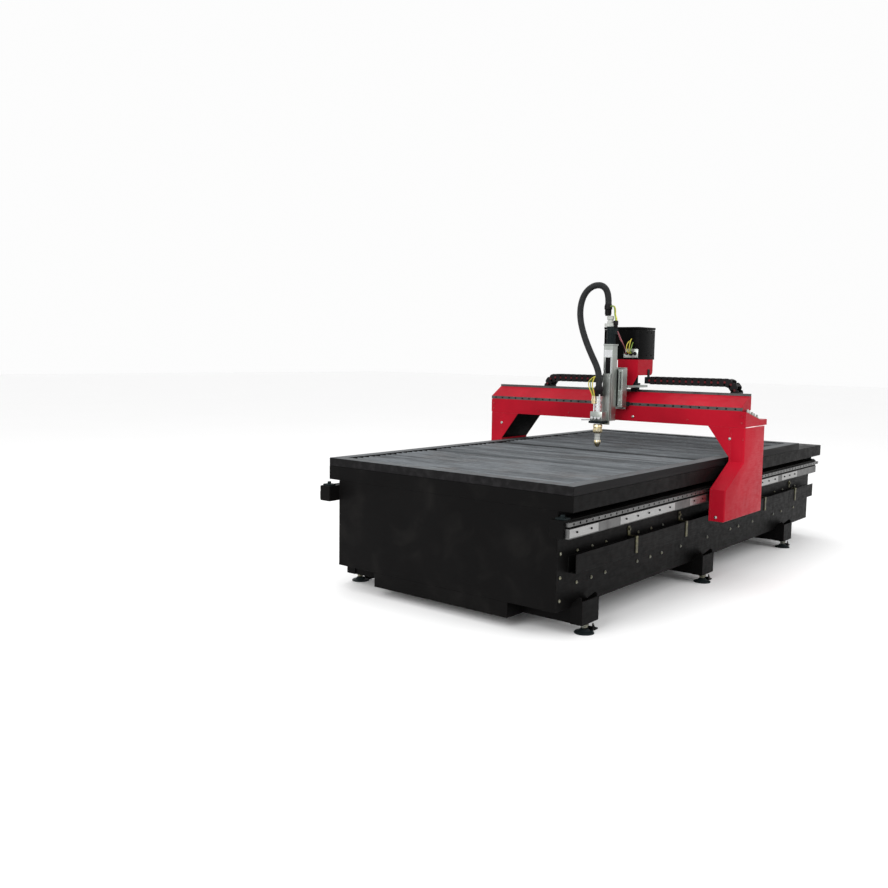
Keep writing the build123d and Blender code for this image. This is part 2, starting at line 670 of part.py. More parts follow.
def leg_caps():
    """End plate of the beam with its sloping top, and the lid over the leg behind the beam."""
    caps = []
    x1 = LEG_FRONT_X + CROSS_DEPTH + SEAT_GAP
    base = CROSS_BOTTOM + CAP_SEAM
    end = LEG_BACK_X + CAP_LIP
    slope = (CAP_FRONT_TOP - CAP_BACK_TOP) / (CAP_BACK_X - LEG_FRONT_X)
    z1 = CAP_FRONT_TOP - slope * (x1 - LEG_FRONT_X)
    plate = [(LEG_FRONT_X, base), (end, base), (end, CAP_BACK_TOP), (CAP_BACK_X, CAP_BACK_TOP),
             (LEG_FRONT_X, CAP_FRONT_TOP)]
    lid = [(x1, base), (end, base), (end, CAP_BACK_TOP), (CAP_BACK_X, CAP_BACK_TOP), (x1, z1)]
    foot = [(LEG_FRONT_X + 10, CROSS_BOTTOM), (LEG_BACK_X - 10, CROSS_BOTTOM), (LEG_BACK_X - 10, base),
            (LEG_FRONT_X + 10, base)]
    for side in SIDES:
        skin = profile_xz(plate, side * LEG_OUTER_Y, side * (LEG_OUTER_Y - LEG_SHEET))
        cover = profile_xz(lid, side * (LEG_OUTER_Y - LEG_SHEET), side * LEG_INNER_Y)
        seat = profile_xz(foot, side * (LEG_OUTER_Y - 2), side * (LEG_OUTER_Y - LEG_SHEET))
        caps.append(skin + cover + seat)
    return caps


def chain_tray():
    """Channel along the back of the beam that the chains' lower runs lie in."""
    x0 = UPPER_BACK_X
    x1 = CHAIN_X + CHAIN_WIDTH / 2 + CHAIN_SIDE_GAP
    wall = TRAY_SHEET
    top = CROSS_TOP + TRAY_DEPTH
    outer = span(x0, x1, -TRAY_END_Y, TRAY_END_Y, CROSS_TOP, top)
    bore = span(x0 + wall, x1 - wall, -TRAY_END_Y - 1, TRAY_END_Y + 1, CROSS_TOP + wall, top + 1)
    return outer - bore


def chain(side, bend_y, end_upper, end_lower):
    """Cable chain: lower run in the tray, one bend at its outer end, upper run to the carriage."""
    radius = (CHAIN_TOP - CHAIN_BOTTOM) / 2
    z_mid = (CHAIN_TOP + CHAIN_BOTTOM) / 2
    y_mid = bend_y - side * radius
    x0 = CHAIN_X - CHAIN_WIDTH / 2
    x1 = CHAIN_X + CHAIN_WIDTH / 2
    upper = span(x0, x1, end_upper, y_mid, CHAIN_TOP - CHAIN_THICK, CHAIN_TOP)
    lower = span(x0, x1, end_lower, y_mid, CHAIN_BOTTOM, CHAIN_BOTTOM + CHAIN_THICK)
    disc = Pos(CHAIN_X, y_mid, z_mid) * Rot(0, 90, 0) * Cylinder(radius, CHAIN_WIDTH)
    bore = Pos(CHAIN_X, y_mid, z_mid) * Rot(0, 90, 0) * Cylinder(radius - CHAIN_THICK, CHAIN_WIDTH + 2)
    keep = span(x0 - 1, x1 + 1, y_mid, y_mid + side * (radius + 1), z_mid - radius - 1, z_mid + radius + 1)
    bend = (disc - bore) & keep
    return upper + bend + lower


# ---- carriage ----
SADDLE_X1 = LEG_FRONT_X - 30
SADDLE_X0 = SADDLE_X1 - SADDLE_THICK
SADDLE_Y0 = LIFT_Y - SADDLE_WIDTH / 2
SADDLE_Y1 = LIFT_Y + SADDLE_WIDTH / 2
SADDLE_TOP = SADDLE_BOTTOM + SADDLE_HEIGHT
ARM_Z0 = TOP_GUIDE_Z + ARM_CLEAR
CARRIAGE_TOP_Z = ARM_Z0 + ARM_THICK
ARM_BACK_X = BOX_X + ARM_REACH
BOX_BOTTOM = CARRIAGE_TOP_Z + BOX_RISE


def saddle():
    """Front plate and the arm that reaches back over the beam."""
    plate = span(SADDLE_X0, SADDLE_X1, SADDLE_Y0 + SADDLE_PLATE_TRIM, SADDLE_Y1, SADDLE_BOTTOM, SADDLE_TOP)
    arm = span(SADDLE_X1, ARM_BACK_X, SADDLE_Y0, SADDLE_Y1, ARM_Z0, CARRIAGE_TOP_Z)
    motor_bore = upright(CROSS_PINION_X, LIFT_Y, ARM_Z0 - 1, CARRIAGE_TOP_Z + 1, 50)
    return plate + arm - motor_bore


def saddle_blocks():
    blocks = []
    z_mid = (CROSS_TOP + STRIP_TOP) / 2
    gap = SLIDE_CLEARANCE
    for s in SIDES:
        y = LIFT_Y + s * 48
        blocks.append(span(SADDLE_X1, LEG_FRONT_X - gap, y - 25, y + 25, z_mid - 15, z_mid + 15))
        xt = LEG_FRONT_X + UPPER_LEAN
        top = span(xt - 12, xt + TOP_GUIDE_WIDTH + 2, y - 25, y + 25, UPPER_TOP_Z + 4, ARM_Z0)
        groove = span(xt - gap, xt + TOP_GUIDE_WIDTH + gap, y - 26, y + 26, UPPER_TOP_Z, TOP_GUIDE_Z + gap)
        blocks.append(top - groove)
    return blocks


CROSS_PINION_X = RACK_TOP_X1 + PINION_RADIUS


def cross_pinion():
    wheel = pinion_disc(13)
    return Pos(CROSS_PINION_X, LIFT_Y, UPPER_TOP_Z + 8) * wheel


def cross_drive():
    body = upright(CROSS_PINION_X, LIFT_Y, CARRIAGE_TOP_Z, CARRIAGE_TOP_Z + 130, 70)
    flange = span(CROSS_PINION_X - 38, CROSS_PINION_X + 38, LIFT_Y - 38, LIFT_Y + 38,
                  CARRIAGE_TOP_Z, CARRIAGE_TOP_Z + 12)
    shaft = upright(CROSS_PINION_X, LIFT_Y, UPPER_TOP_Z + 14.5 + SEAT_GAP, CARRIAGE_TOP_Z, 16)
    return body + flange + shaft


HOUSING_X0 = LIFT_X - HOUSING_DEPTH / 2
HOUSING_X1 = LIFT_X + HOUSING_DEPTH / 2
HOUSING_Y0 = LIFT_Y - HOUSING_WIDTH / 2
HOUSING_Y1 = LIFT_Y + HOUSING_WIDTH / 2
SLOT_BOTTOM = HOUSING_BOTTOM + SLOT_LOW_MARGIN
SLOT_TOP = HOUSING_TOP - SLOT_HIGH_MARGIN


def lift_housing():
    """Upright case with a slot down its front for the slide."""
    outer = span(HOUSING_X0, HOUSING_X1, HOUSING_Y0, HOUSING_Y1, HOUSING_BOTTOM, HOUSING_TOP)
    bore = span(HOUSING_X0 + HOUSING_WALL, HOUSING_X1 - HOUSING_WALL, HOUSING_Y0 + HOUSING_WALL,
                HOUSING_Y1 - HOUSING_WALL, HOUSING_BOTTOM + HOUSING_WALL, HOUSING_TOP - HOUSING_WALL)
    slot = span(HOUSING_X0 - 1, HOUSING_X0 + HOUSING_WALL + 1, LIFT_Y - SLOT_WIDTH / 2,
                LIFT_Y + SLOT_WIDTH / 2, SLOT_BOTTOM, SLOT_TOP)
    back_pad = span(HOUSING_X1, SADDLE_X0, LIFT_Y - 28, LIFT_Y + 28, SADDLE_BOTTOM + 20, SADDLE_TOP - 10)
    return outer - bore - slot + back_pad


def lift_side_plate():
    """Slotted plate beside the housing, on the saddle."""
    y1 = HOUSING_Y0 - SIDE_PLATE_GAP
    y0 = y1 - SIDE_PLATE_WIDTH
    z0 = SADDLE_BOTTOM + 16
    z1 = SADDLE_TOP - 9
    outer = span(SADDLE_X0 - SIDE_PLATE_DEPTH, SADDLE_X0, y0, y1, z0, z1)
    slot = span(SADDLE_X0 - SIDE_PLATE_DEPTH - 1, SADDLE_X0 - 40, y0 + 12, y0 + 24, z1 - 140, z1 - 20)
    return outer - slot


MOTOR_Z0 = HOUSING_TOP + CAP_SHEET
CONNECTOR_Z0 = MOTOR_Z0 + MOTOR_LENGTH
GLAND_Z0 = CONNECTOR_Z0 + CONNECTOR_HEIGHT
GLAND_Y = LIFT_Y + 29


def lift_cap():
    return span(HOUSING_X0 - CAP_EDGE, HOUSING_X1 + CAP_EDGE, HOUSING_Y0 - CAP_EDGE, HOUSING_Y1 + CAP_EDGE,
                HOUSING_TOP, MOTOR_Z0)


def lift_motor():
    return upright(LIFT_X, LIFT_Y, MOTOR_Z0, CONNECTOR_Z0, MOTOR_DIAMETER)


def lift_connector():
    return span(LIFT_X - 26, LIFT_X + 26, LIFT_Y - 22, LIFT_Y + 40, CONNECTOR_Z0, GLAND_Z0)


def hose_gland():
    lower = upright(LIFT_X, GLAND_Y, GLAND_Z0, GLAND_Z0 + GLAND_HEIGHT - 30, 52)
    upper = upright(LIFT_X, GLAND_Y, GLAND_Z0 + GLAND_HEIGHT - 30, GLAND_Z0 + GLAND_HEIGHT, 48)
    return lower + upper


def lift_screw():
    return upright(LIFT_X + 8, LIFT_Y, HOUSING_BOTTOM + HOUSING_WALL + SEAT_GAP,
                   HOUSING_TOP - HOUSING_WALL - SEAT_GAP, SCREW_DIAMETER)


def control_bracket():
    """Folded sheet that carries the control box on the saddle's arm."""
    sheet = 5
    x1 = BOX_X + BRACKET_LENGTH
    side_low = BOX_BOTTOM - BRACKET_SIDE_DROP
    front_low = CARRIAGE_TOP_Z
    side_wall = span(BOX_X, x1, BOX_Y, BOX_Y + sheet, side_low, BOX_BOTTOM)
    corner = side_wall.edges().filter_by(Axis.Y).group_by(Axis.X)[-1].group_by(Axis.Z)[0]
    side_wall = fillet(corner, 30)
    y1 = BOX_Y + BRACKET_FRONT
    front = [(BOX_Y, side_low), (BOX_Y + 40, front_low), (BOX_Y + 104, front_low), (y1, side_low + 40),
             (y1, BOX_BOTTOM), (BOX_Y, BOX_BOTTOM)]
    front_wall = profile_yz(front, BOX_X, BOX_X + sheet)
    top = span(BOX_X, x1, BOX_Y, BOX_Y + BOX_WIDTH - 20, BOX_BOTTOM - sheet, BOX_BOTTOM)
    return side_wall + front_wall + top


def control_box():
    box = span(BOX_X, BOX_X + BOX_DEPTH, BOX_Y, BOX_Y + BOX_WIDTH, BOX_BOTTOM, BOX_BOTTOM + BOX_HEIGHT)
    return fillet(box.edges().filter_by(Axis.Z), 12)


def chain_brackets():
    """End brackets of the chains: one on the folded sheet's side, one standing on the arm."""
    x0 = CHAIN_X - CHAIN_WIDTH / 2 + 4
    low = CHAIN_TOP - CHAIN_THICK + 4
    hang = BOX_BOTTOM - BRACKET_SIDE_DROP
    front = span(x0, ARM_BACK_X, BOX_Y + 8, BOX_Y - CHAIN_CLIP, low, CHAIN_TOP - 4)
    strap = span(x0 + 20, x0 + 50, BOX_Y, BOX_Y - 5, CHAIN_TOP - 4, hang + 40)
    front = front + strap
    back = span(x0, ARM_BACK_X, SADDLE_Y1 - CHAIN_CLIP, SADDLE_Y1, CARRIAGE_TOP_Z, CHAIN_TOP - 4)
    return front, back


# ---- lifted pieces ----
SLIDE_BACK_X = HOUSING_X0 - 4
SLIDE_FACE_X = SLIDE_BACK_X - SLIDE_THICK
SLIDE_BOTTOM = HOLDER_BOTTOM - 10


def lift_slide():
    """Nut block on the screw, and the tongue through the slot that carries the holder."""
    nut = span(HOUSING_X0 + HOUSING_WALL + SLIDE_CLEARANCE, HOUSING_X1 - HOUSING_WALL - SLIDE_CLEARANCE,
               LIFT_Y - 24, LIFT_Y + 24, HOLDER_BOTTOM + 60, HOLDER_BOTTOM + 140)
    tongue = span(HOUSING_X0 - 8, HOUSING_X0 + 12, LIFT_Y - 16, LIFT_Y + 16, HOLDER_BOTTOM + 62,
                  HOLDER_BOTTOM + 120)
    plate = span(SLIDE_FACE_X, SLIDE_BACK_X, HOUSING_Y0 + 4, HOUSING_Y1 - 4, SLIDE_BOTTOM,
                 SLIDE_BOTTOM + SLIDE_LENGTH)
    ear = span(SLIDE_FACE_X, SLIDE_BACK_X, LIFT_Y, TORCH_Y + HOLDER_HALF, HOLDER_BOTTOM, HOLDER_TOP)
    bore = upright(LIFT_X + 8, LIFT_Y, HOLDER_BOTTOM, HOLDER_BOTTOM + 150,
                   SCREW_DIAMETER + 2 * SLIDE_CLEARANCE)
    return nut + tongue + plate + ear - bore


def torch_holder():
    x0 = TORCH_X - TORCH_DIAMETER / 2 - HOLDER_WALL
    block = span(x0, SLIDE_FACE_X, TORCH_Y - HOLDER_HALF, TORCH_Y + HOLDER_HALF, HOLDER_BOTTOM, HOLDER_TOP)
    block = fillet(block.edges().filter_by(Axis.Z), 14)
    bore = upright(TORCH_X, TORCH_Y, HOLDER_BOTTOM - 1, HOLDER_TOP + 1,
                   TORCH_DIAMETER + 2 * SEAT_GAP)
    return block - bore


def torch_body():
    barrel = upright(TORCH_X, TORCH_Y, COLLAR_TOP, TORCH_TOP - HEAD_HEIGHT, TORCH_DIAMETER)
    head = upright(TORCH_X, TORCH_Y, TORCH_TOP - HEAD_HEIGHT, TORCH_TOP, TORCH_DIAMETER + 6)
    return barrel + head


def torch_nozzle():
    """Retaining cap and shield that screw onto the torch's lower end."""
    neck_z = TORCH_TIP + NOZZLE_HEIGHT
    collar_z = neck_z + NOZZLE_NECK
    collar = upright(TORCH_X, TORCH_Y, collar_z, COLLAR_TOP, COLLAR_DIAMETER)
    shaft = upright(TORCH_X, TORCH_Y, neck_z, collar_z, NECK_DIAMETER)
    tip = upright(TORCH_X, TORCH_Y, TORCH_TIP, neck_z, NOZZLE_DIAMETER)
    tip = chamfer(tip.edges().group_by(Axis.Z)[0], 8)
    return collar + shaft + tip


HOSE_ROUTE = [
    (LIFT_X, GLAND_Y, GLAND_Z0 + GLAND_HEIGHT),
    (LIFT_X, GLAND_Y, 1826),
    (-181, -42, 1884),
    (-195, 26, 1886),
    (-207, 86, 1836),
    (-215, 112, 1752),
    (-223, 106, 1656),
    (-232, 66, 1546),
    (-241, 8, 1436),
    (-250, -56, 1334),
    (TORCH_X, TORCH_Y, 1268),
    (TORCH_X, TORCH_Y, TORCH_TOP),
]


def tube_along(points, diameter):
    """Tube of straight runs and tangent arcs, each arc as large as its two runs allow."""
    route = [Vector(*p) for p in points]
    radii = []
    for a, b, c in zip(route, route[1:], route[2:]):
        run = min((b - a).length, (c - b).length)
        turn = math.radians((b - a).get_angle(c - b))
        radii.append(0.45 * run / math.tan(turn / 2))
    path = FilletPolyline(*route, radius=radii)
    section = Plane(origin=route[0], z_dir=route[1] - route[0]) * Circle(diameter / 2)
    return sweep(section, path=path)


def build_table():
    save("tray_frame", tray_frame())
    save("rim_frame", rim_frame())
    save("deck_ledge", deck_ledge())
    save("side_panels", *[side_panel(side) for side in SIDES])
    save("end_panels", *end_panels())
    save("slats", *slats())
    save("slat_combs", *slat_combs())
    save("zone_dividers", *zone_dividers())
    save("slag_trays", *slag_trays())
    save("fume_plenum", fume_plenum())
    save("cross_beams", *cross_beams())
    feet = [(x, side) for x in FOOT_PLACES for side in SIDES]
    save("leg_brackets", *[leg_bracket(x, side) for x, side in feet])
    save("foot_stems", *[foot_stem(x, side) for x, side in feet])
    save("foot_pads", *[foot_pad(x, side) for x, side in feet])
    save("anchor_lugs", *[anchor_lug(x, side) for x, side in feet])
    save("front_rail_beam", rail_beam(-1))
    save("back_rail_beam", rail_beam(1))
    save("guide_rails", *[guide_rail(side) for side in SIDES])
    save("rack_bars", *rack(-1), *rack(1))
    save("rail_end_stops", *end_stops())
    save("cable_trough", cable_trough())
    save("trough_hooks", *[trough_hook(x) for x in HOOK_PLACES])
    save("panel_bolts", *panel_bolts())


def build_gantry():
    for side, name in ((-1, "front"), (1, "back")):
        save(f"{name}_leg", leg(side))
        save(f"{name}_pinion", leg_pinion(side))
    save("haunches", *[haunch(side) for side in SIDES])
    save("leg_plates", *[leg_plate(side) for side in SIDES])
    save("leg_drives", *[leg_drive(side) for side in SIDES])
    save("gantry_beam", cross_beam_body())
    save("beam_casing", upper_casing())
    save("beam_guides", *beam_guides())
    save("beam_rack", beam_rack())
    save("guide_blocks", *guide_blocks())
    save("leg_caps", *leg_caps())
    save("chain_tray", chain_tray())
    save("front_chain", chain(-1, CHAIN_FRONT_BEND, BOX_Y - CHAIN_CLIP, LIFT_Y - 20))
    save("back_chain", chain(1, CHAIN_BACK_BEND, SADDLE_Y1, LIFT_Y + 20))


def build_carriage():
    save("saddle", saddle())
    save("saddle_blocks", *saddle_blocks())
    save("cross_drive", cross_drive())
    save("cross_pinion", cross_pinion())
    save("lift_housing", lift_housing())
    save("lift_side_plate", lift_side_plate())
    save("lift_cap", lift_cap())
    save("lift_motor", lift_motor())
    save("lift_connector", lift_connector())
    save("hose_gland", hose_gland())
    save("lift_screw", lift_screw())
    save("control_bracket", control_bracket())
    save("control_box", control_box())
    save("chain_brackets", *chain_brackets())
    save("lift_slide", lift_slide())
    save("torch_holder", torch_holder())
    save("torch_body", torch_body())
    save("torch_nozzle", torch_nozzle())
    save("torch_hose", tube_along(HOSE_ROUTE, HOSE_DIAMETER))


os.makedirs("parts", exist_ok=True)
build_table()
build_gantry()
build_carriage()
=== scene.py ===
"""Looks of a gantry plasma cutting table: finishes and fine pieces set on its fixed frame."""

import json
import math
import random
from itertools import product

import bmesh
import bpy
from bpy.props import FloatProperty, FloatVectorProperty, IntProperty, PointerProperty
from mathutils import Matrix, Vector


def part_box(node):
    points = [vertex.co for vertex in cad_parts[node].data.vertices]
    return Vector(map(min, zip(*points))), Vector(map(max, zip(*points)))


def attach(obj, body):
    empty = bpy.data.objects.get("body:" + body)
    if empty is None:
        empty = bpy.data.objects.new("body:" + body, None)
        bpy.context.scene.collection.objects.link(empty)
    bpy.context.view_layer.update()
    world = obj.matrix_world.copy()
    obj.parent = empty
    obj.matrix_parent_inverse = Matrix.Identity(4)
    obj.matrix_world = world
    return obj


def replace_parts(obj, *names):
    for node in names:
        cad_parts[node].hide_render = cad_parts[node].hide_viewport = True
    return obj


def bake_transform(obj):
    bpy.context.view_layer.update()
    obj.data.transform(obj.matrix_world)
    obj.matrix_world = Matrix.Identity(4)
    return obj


bl_info = {
    "name": "Gantry cutting table",
    "version": (1, 0, 0),
    "blender": (4, 5, 0),
    "location": "3D View > Sidebar > Cutting table",
    "description": "Dresses the frame of a gantry cutting table with its finishes and fine pieces",
    "category": "Object",
}

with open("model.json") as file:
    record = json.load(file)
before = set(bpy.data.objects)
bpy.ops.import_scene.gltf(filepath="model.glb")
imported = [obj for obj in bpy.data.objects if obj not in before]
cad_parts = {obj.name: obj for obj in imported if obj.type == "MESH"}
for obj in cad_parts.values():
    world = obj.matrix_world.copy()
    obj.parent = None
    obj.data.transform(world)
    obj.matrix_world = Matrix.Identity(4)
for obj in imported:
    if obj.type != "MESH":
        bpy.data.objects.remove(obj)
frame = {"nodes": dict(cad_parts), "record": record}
SIDES = (-1, 1)
MM = 0.001
WELD = 1e-5
FULL_TURN = 2 * math.pi
AXIS_X = Vector((1, 0, 0))
AXIS_Y = Vector((0, 1, 0))
AXIS_Z = Vector((0, 0, 1))


# ---- sizes and colours that a user would change ----
def length(name, text, value):
    """Length property in metres."""
    return FloatProperty(name=name, description=text, default=value, min=0.0, precision=4, unit="LENGTH")


def colour(name, text, value):
    """Colour property."""
    return FloatVectorProperty(name=name, description=text, default=value, size=3, min=0.0, max=1.0,
                               subtype="COLOR")


class TableColours(bpy.types.PropertyGroup):
    """Base colours of the finishes."""

    red: colour("Red paint", "Powder coat on the gantry", (0.345, 0.0055, 0.0165))
    black: colour("Black paint", "Powder coat on the cabinet", (0.0034, 0.0032, 0.0032))
    rim: colour("Rim paint", "Worn paint on the bed's rim", (0.0060, 0.0057, 0.0060))
    slat: colour("Slat scale", "Burnt steel of the bed slats", (0.125, 0.135, 0.143))
    steel: colour("Ground steel", "Rails, racks and pinions", (0.33, 0.33, 0.326))
    aluminium: colour("Aluminium", "Anodised plates of the lift", (0.37, 0.395, 0.372))
    brass: colour("Brass", "Torch tip and collar", (0.80, 0.67, 0.36))
    zinc: colour("Zinc", "Plated hooks, bolts and stems", (0.26, 0.25, 0.18))
    plastic: colour("Black plastic", "Chain links and glands", (0.0065, 0.0055, 0.0062))
    rubber: colour("Hose sleeve", "Woven sleeve round the hose", (0.0085, 0.0090, 0.0095))
    motor: colour("Motor paint", "Motors and gearboxes", (0.010, 0.014, 0.015))
    white: colour("White plastic", "Connector bodies", (0.36, 0.37, 0.35))
    box: colour("Box paint", "Gloss paint of the control box", (0.0030, 0.0030, 0.0031))


class RailSizes(bpy.types.PropertyGroup):
    """Linear guides and racks."""

    hole_pitch: length("Hole pitch", "Spacing of the bolt holes in a guide", 0.060)
    hole_radius: length("Hole radius", "Counterbore for a guide's bolt", 0.0066)
    hole_depth: length("Hole depth", "Depth of the counterbore", 0.009)
    groove: length("Ball groove", "Width of the ball track cut in a guide", 0.005)
    tooth_pitch: length("Tooth pitch", "Spacing of the rack teeth", 0.00628)
    tooth_height: length("Tooth height", "Height of a rack tooth", 0.0045)


class ChainSizes(bpy.types.PropertyGroup):
    """Cable chain links."""

    pitch: length("Link pitch", "Length of one link", 0.045)
    plate: length("Side plate", "Thickness of a link's side plate", 0.008)
    bar: length("Cross bar", "Width of a link's cross bars", 0.018)
    thick: length("Chain height", "Height of a link", 0.053)


class HoseSizes(bpy.types.PropertyGroup):
    """Torch hose and small wires."""

    diameter: length("Hose diameter", "Outside of the sleeve", 0.043)
    run: length("Hose length", "Length of the hose from the gland to the torch", 0.94)
    wire: length("Wire diameter", "Outside of a small wire", 0.007)


class StageSizes(bpy.types.PropertyGroup):
    """Camera, floor and lights."""

    lens: FloatProperty(name="Lens", description="Focal length", default=37.136, unit="CAMERA")
    heading: FloatProperty(name="Heading", description="Camera heading from +X", default=math.radians(39.515),
                           subtype="ANGLE")
    pitch: FloatProperty(name="Pitch", description="Camera tilt below level", default=math.radians(5.641),
                         subtype="ANGLE")
    roll: FloatProperty(name="Roll", description="Camera turn about its view", default=math.radians(0.828),
                        subtype="ANGLE")
    place: FloatVectorProperty(name="Camera place", description="Where the camera stands",
                               default=(-5.607, -3.160, 1.417), size=3, subtype="TRANSLATION", unit="LENGTH")
    floor: length("Floor size", "Side of the pale floor", 90.0)
    key: FloatProperty(name="Key light", description="Power of the large soft light", default=190.0,
                       unit="POWER")
    sky: FloatProperty(name="Sky", description="Strength of the even light all round", default=0.98)
    seed: IntProperty(name="Seed", description="Start of the random wear", default=7)


GROUPS = {"table_colours": TableColours, "rail_sizes": RailSizes, "chain_sizes": ChainSizes,
          "hose_sizes": HoseSizes, "stage_sizes": StageSizes}


# ---- finishes ----
NOISE_SPAN = (0.3, 0.7)    # the values that one noise mostly takes
SUM_SPAN = (0.7, 1.3)      # and the sum of two
DARK_LINE_X = -0.16             # dark line across the bed
STRANDS_ALONG = 150
STRANDS_AROUND = 16


class Finish:
    """A procedural finish while it is wired: its nodes, its shader and the Object coordinates."""

    def __init__(self, name, **values):
        self.material = bpy.data.materials.new(name)
        self.material.use_nodes = True
        self.tree = self.material.node_tree
        self.shader = self.tree.nodes["Principled BSDF"]
        self.place = self.add("ShaderNodeTexCoord").outputs["Object"]
        for socket, value in values.items():
            self.set(socket.replace("_", " "), value)

    def add(self, kind, **values):
        node = self.tree.nodes.new(kind)
        for key, value in values.items():
            setattr(node, key, value)
        return node

    def feed(self, socket, value):
        """Links a node's output to a socket, or sets a plain number or colour."""
        if isinstance(value, bpy.types.NodeSocket):
            self.tree.links.new(value, socket)
        elif hasattr(value, "__len__") and len(value) == 3 and socket.type == "RGBA":
            socket.default_value = (*value, 1.0)
        else:
            socket.default_value = value

    def set(self, name, value):
        self.feed(self.shader.inputs[name], value)

    def stretched(self, x, y, z):
        """Object coordinates scaled along each axis."""
        node = self.add("ShaderNodeMapping")
        self.feed(node.inputs["Vector"], self.place)
        node.inputs["Scale"].default_value = (x, y, z)
        return node.outputs[0]

    def noise(self, scale, detail=3.0, place=None, distortion=0.0):
        node = self.add("ShaderNodeTexNoise")
        self.feed(node.inputs["Vector"], place or self.place)
        node.inputs["Scale"].default_value = scale
        node.inputs["Detail"].default_value = detail
        node.inputs["Distortion"].default_value = distortion
        return node.outputs[0]

    def spots(self, scale, place=None):
        """Distance from scattered points, 0 at each point."""
        node = self.add("ShaderNodeTexVoronoi")
        self.feed(node.inputs["Vector"], place or self.place)
        node.inputs["Scale"].default_value = scale
        return node.outputs["Distance"]

    def distance(self, along):
        """Distance from the origin along one axis."""
        node = self.add("ShaderNodeSeparateXYZ")
        self.feed(node.inputs[0], self.place)
        return node.outputs[along]

    def remap(self, value, low, high, to_low=0.0, to_high=1.0):
        node = self.add("ShaderNodeMapRange", interpolation_type="SMOOTHSTEP")
        for socket, number in zip(node.inputs, (value, low, high, to_low, to_high)):
            self.feed(socket, number)
        return node.outputs[0]

    def maths(self, how, first, second=0.0):
        node = self.add("ShaderNodeMath", operation=how)
        self.feed(node.inputs[0], first)
        self.feed(node.inputs[1], second)
        return node.outputs[0]

    def mixed(self, share, first, second):
        """Colour between two, by share."""
        node = self.add("ShaderNodeMix", data_type="RGBA")
        self.feed(node.inputs[0], share)
        self.feed(node.inputs[6], first)
        self.feed(node.inputs[7], second)
        return node.outputs[2]

    def edge_wear_and_highlight_mask(self, reach):
        """1 along sharp outer edges, 0 on flat faces, broken up by noise."""
        soft = self.add("ShaderNodeBevel", samples=4)
        soft.inputs["Radius"].default_value = reach
        facing = self.add("ShaderNodeVectorMath", operation="DOT_PRODUCT")
        self.feed(facing.inputs[0], soft.outputs[0])
        self.feed(facing.inputs[1], self.add("ShaderNodeNewGeometry").outputs["Normal"])
        edge = self.remap(facing.outputs["Value"], 0.97, 0.80)
        return self.maths("MULTIPLY", edge, self.remap(self.noise(60, 4), 0.38, 0.62))

    def edge_wear_and_highlight(self, tone, reach, share, edge_tone):
        """The tone with a share of another colour along its sharp edges: wear on paint and plastic, a painted
        highlight on ground metal and on the rim.
        """
        return self.mixed(self.maths("MULTIPLY", self.edge_wear_and_highlight_mask(reach), share), tone, edge_tone)

    def rough(self, pattern, span, low, high):
        """Roughness that follows a pattern."""
        self.set("Roughness", self.remap(pattern, *span, low, high))

    def bumped(self, height, strength, distance):
        node = self.add("ShaderNodeBump")
        node.inputs["Strength"].default_value = strength
        node.inputs["Distance"].default_value = distance
        self.feed(node.inputs["Height"], height)
        self.set("Normal", node.outputs[0])


def shade(base, share):
    """Lighter or darker version of a colour."""
    return tuple(min(1.0, part * share) for part in base)


def powder_coat(name, base, roughness, edge_tone, dust, dust_share, gloss=0.035):
    """Sprayed and baked paint: orange peel, uneven gloss, dust, and wear along the edges."""
    finish = Finish(name, Specular_IOR_Level=gloss)
    drift = finish.remap(finish.noise(1.9, 6), 0.35, 0.65)
    tone = finish.mixed(drift, shade(base, 0.86), shade(base, 1.12))
    settled = finish.remap(finish.noise(5.5, 8, distortion=0.6), 0.48, 0.78, 0.0, dust_share)
    tone = finish.edge_wear_and_highlight(finish.mixed(settled, tone, dust), 0.0022, 0.75, edge_tone)
    scratch = finish.noise(14, 2, finish.stretched(1, 1, 22))
    finish.set("Base Color", tone)
    uneven = finish.maths("ADD", finish.noise(26, 5), scratch)
    finish.rough(uneven, SUM_SPAN, roughness - 0.07, roughness + 0.12)
    finish.bumped(finish.noise(460, 2), 0.22, 0.0006)
    return finish.material


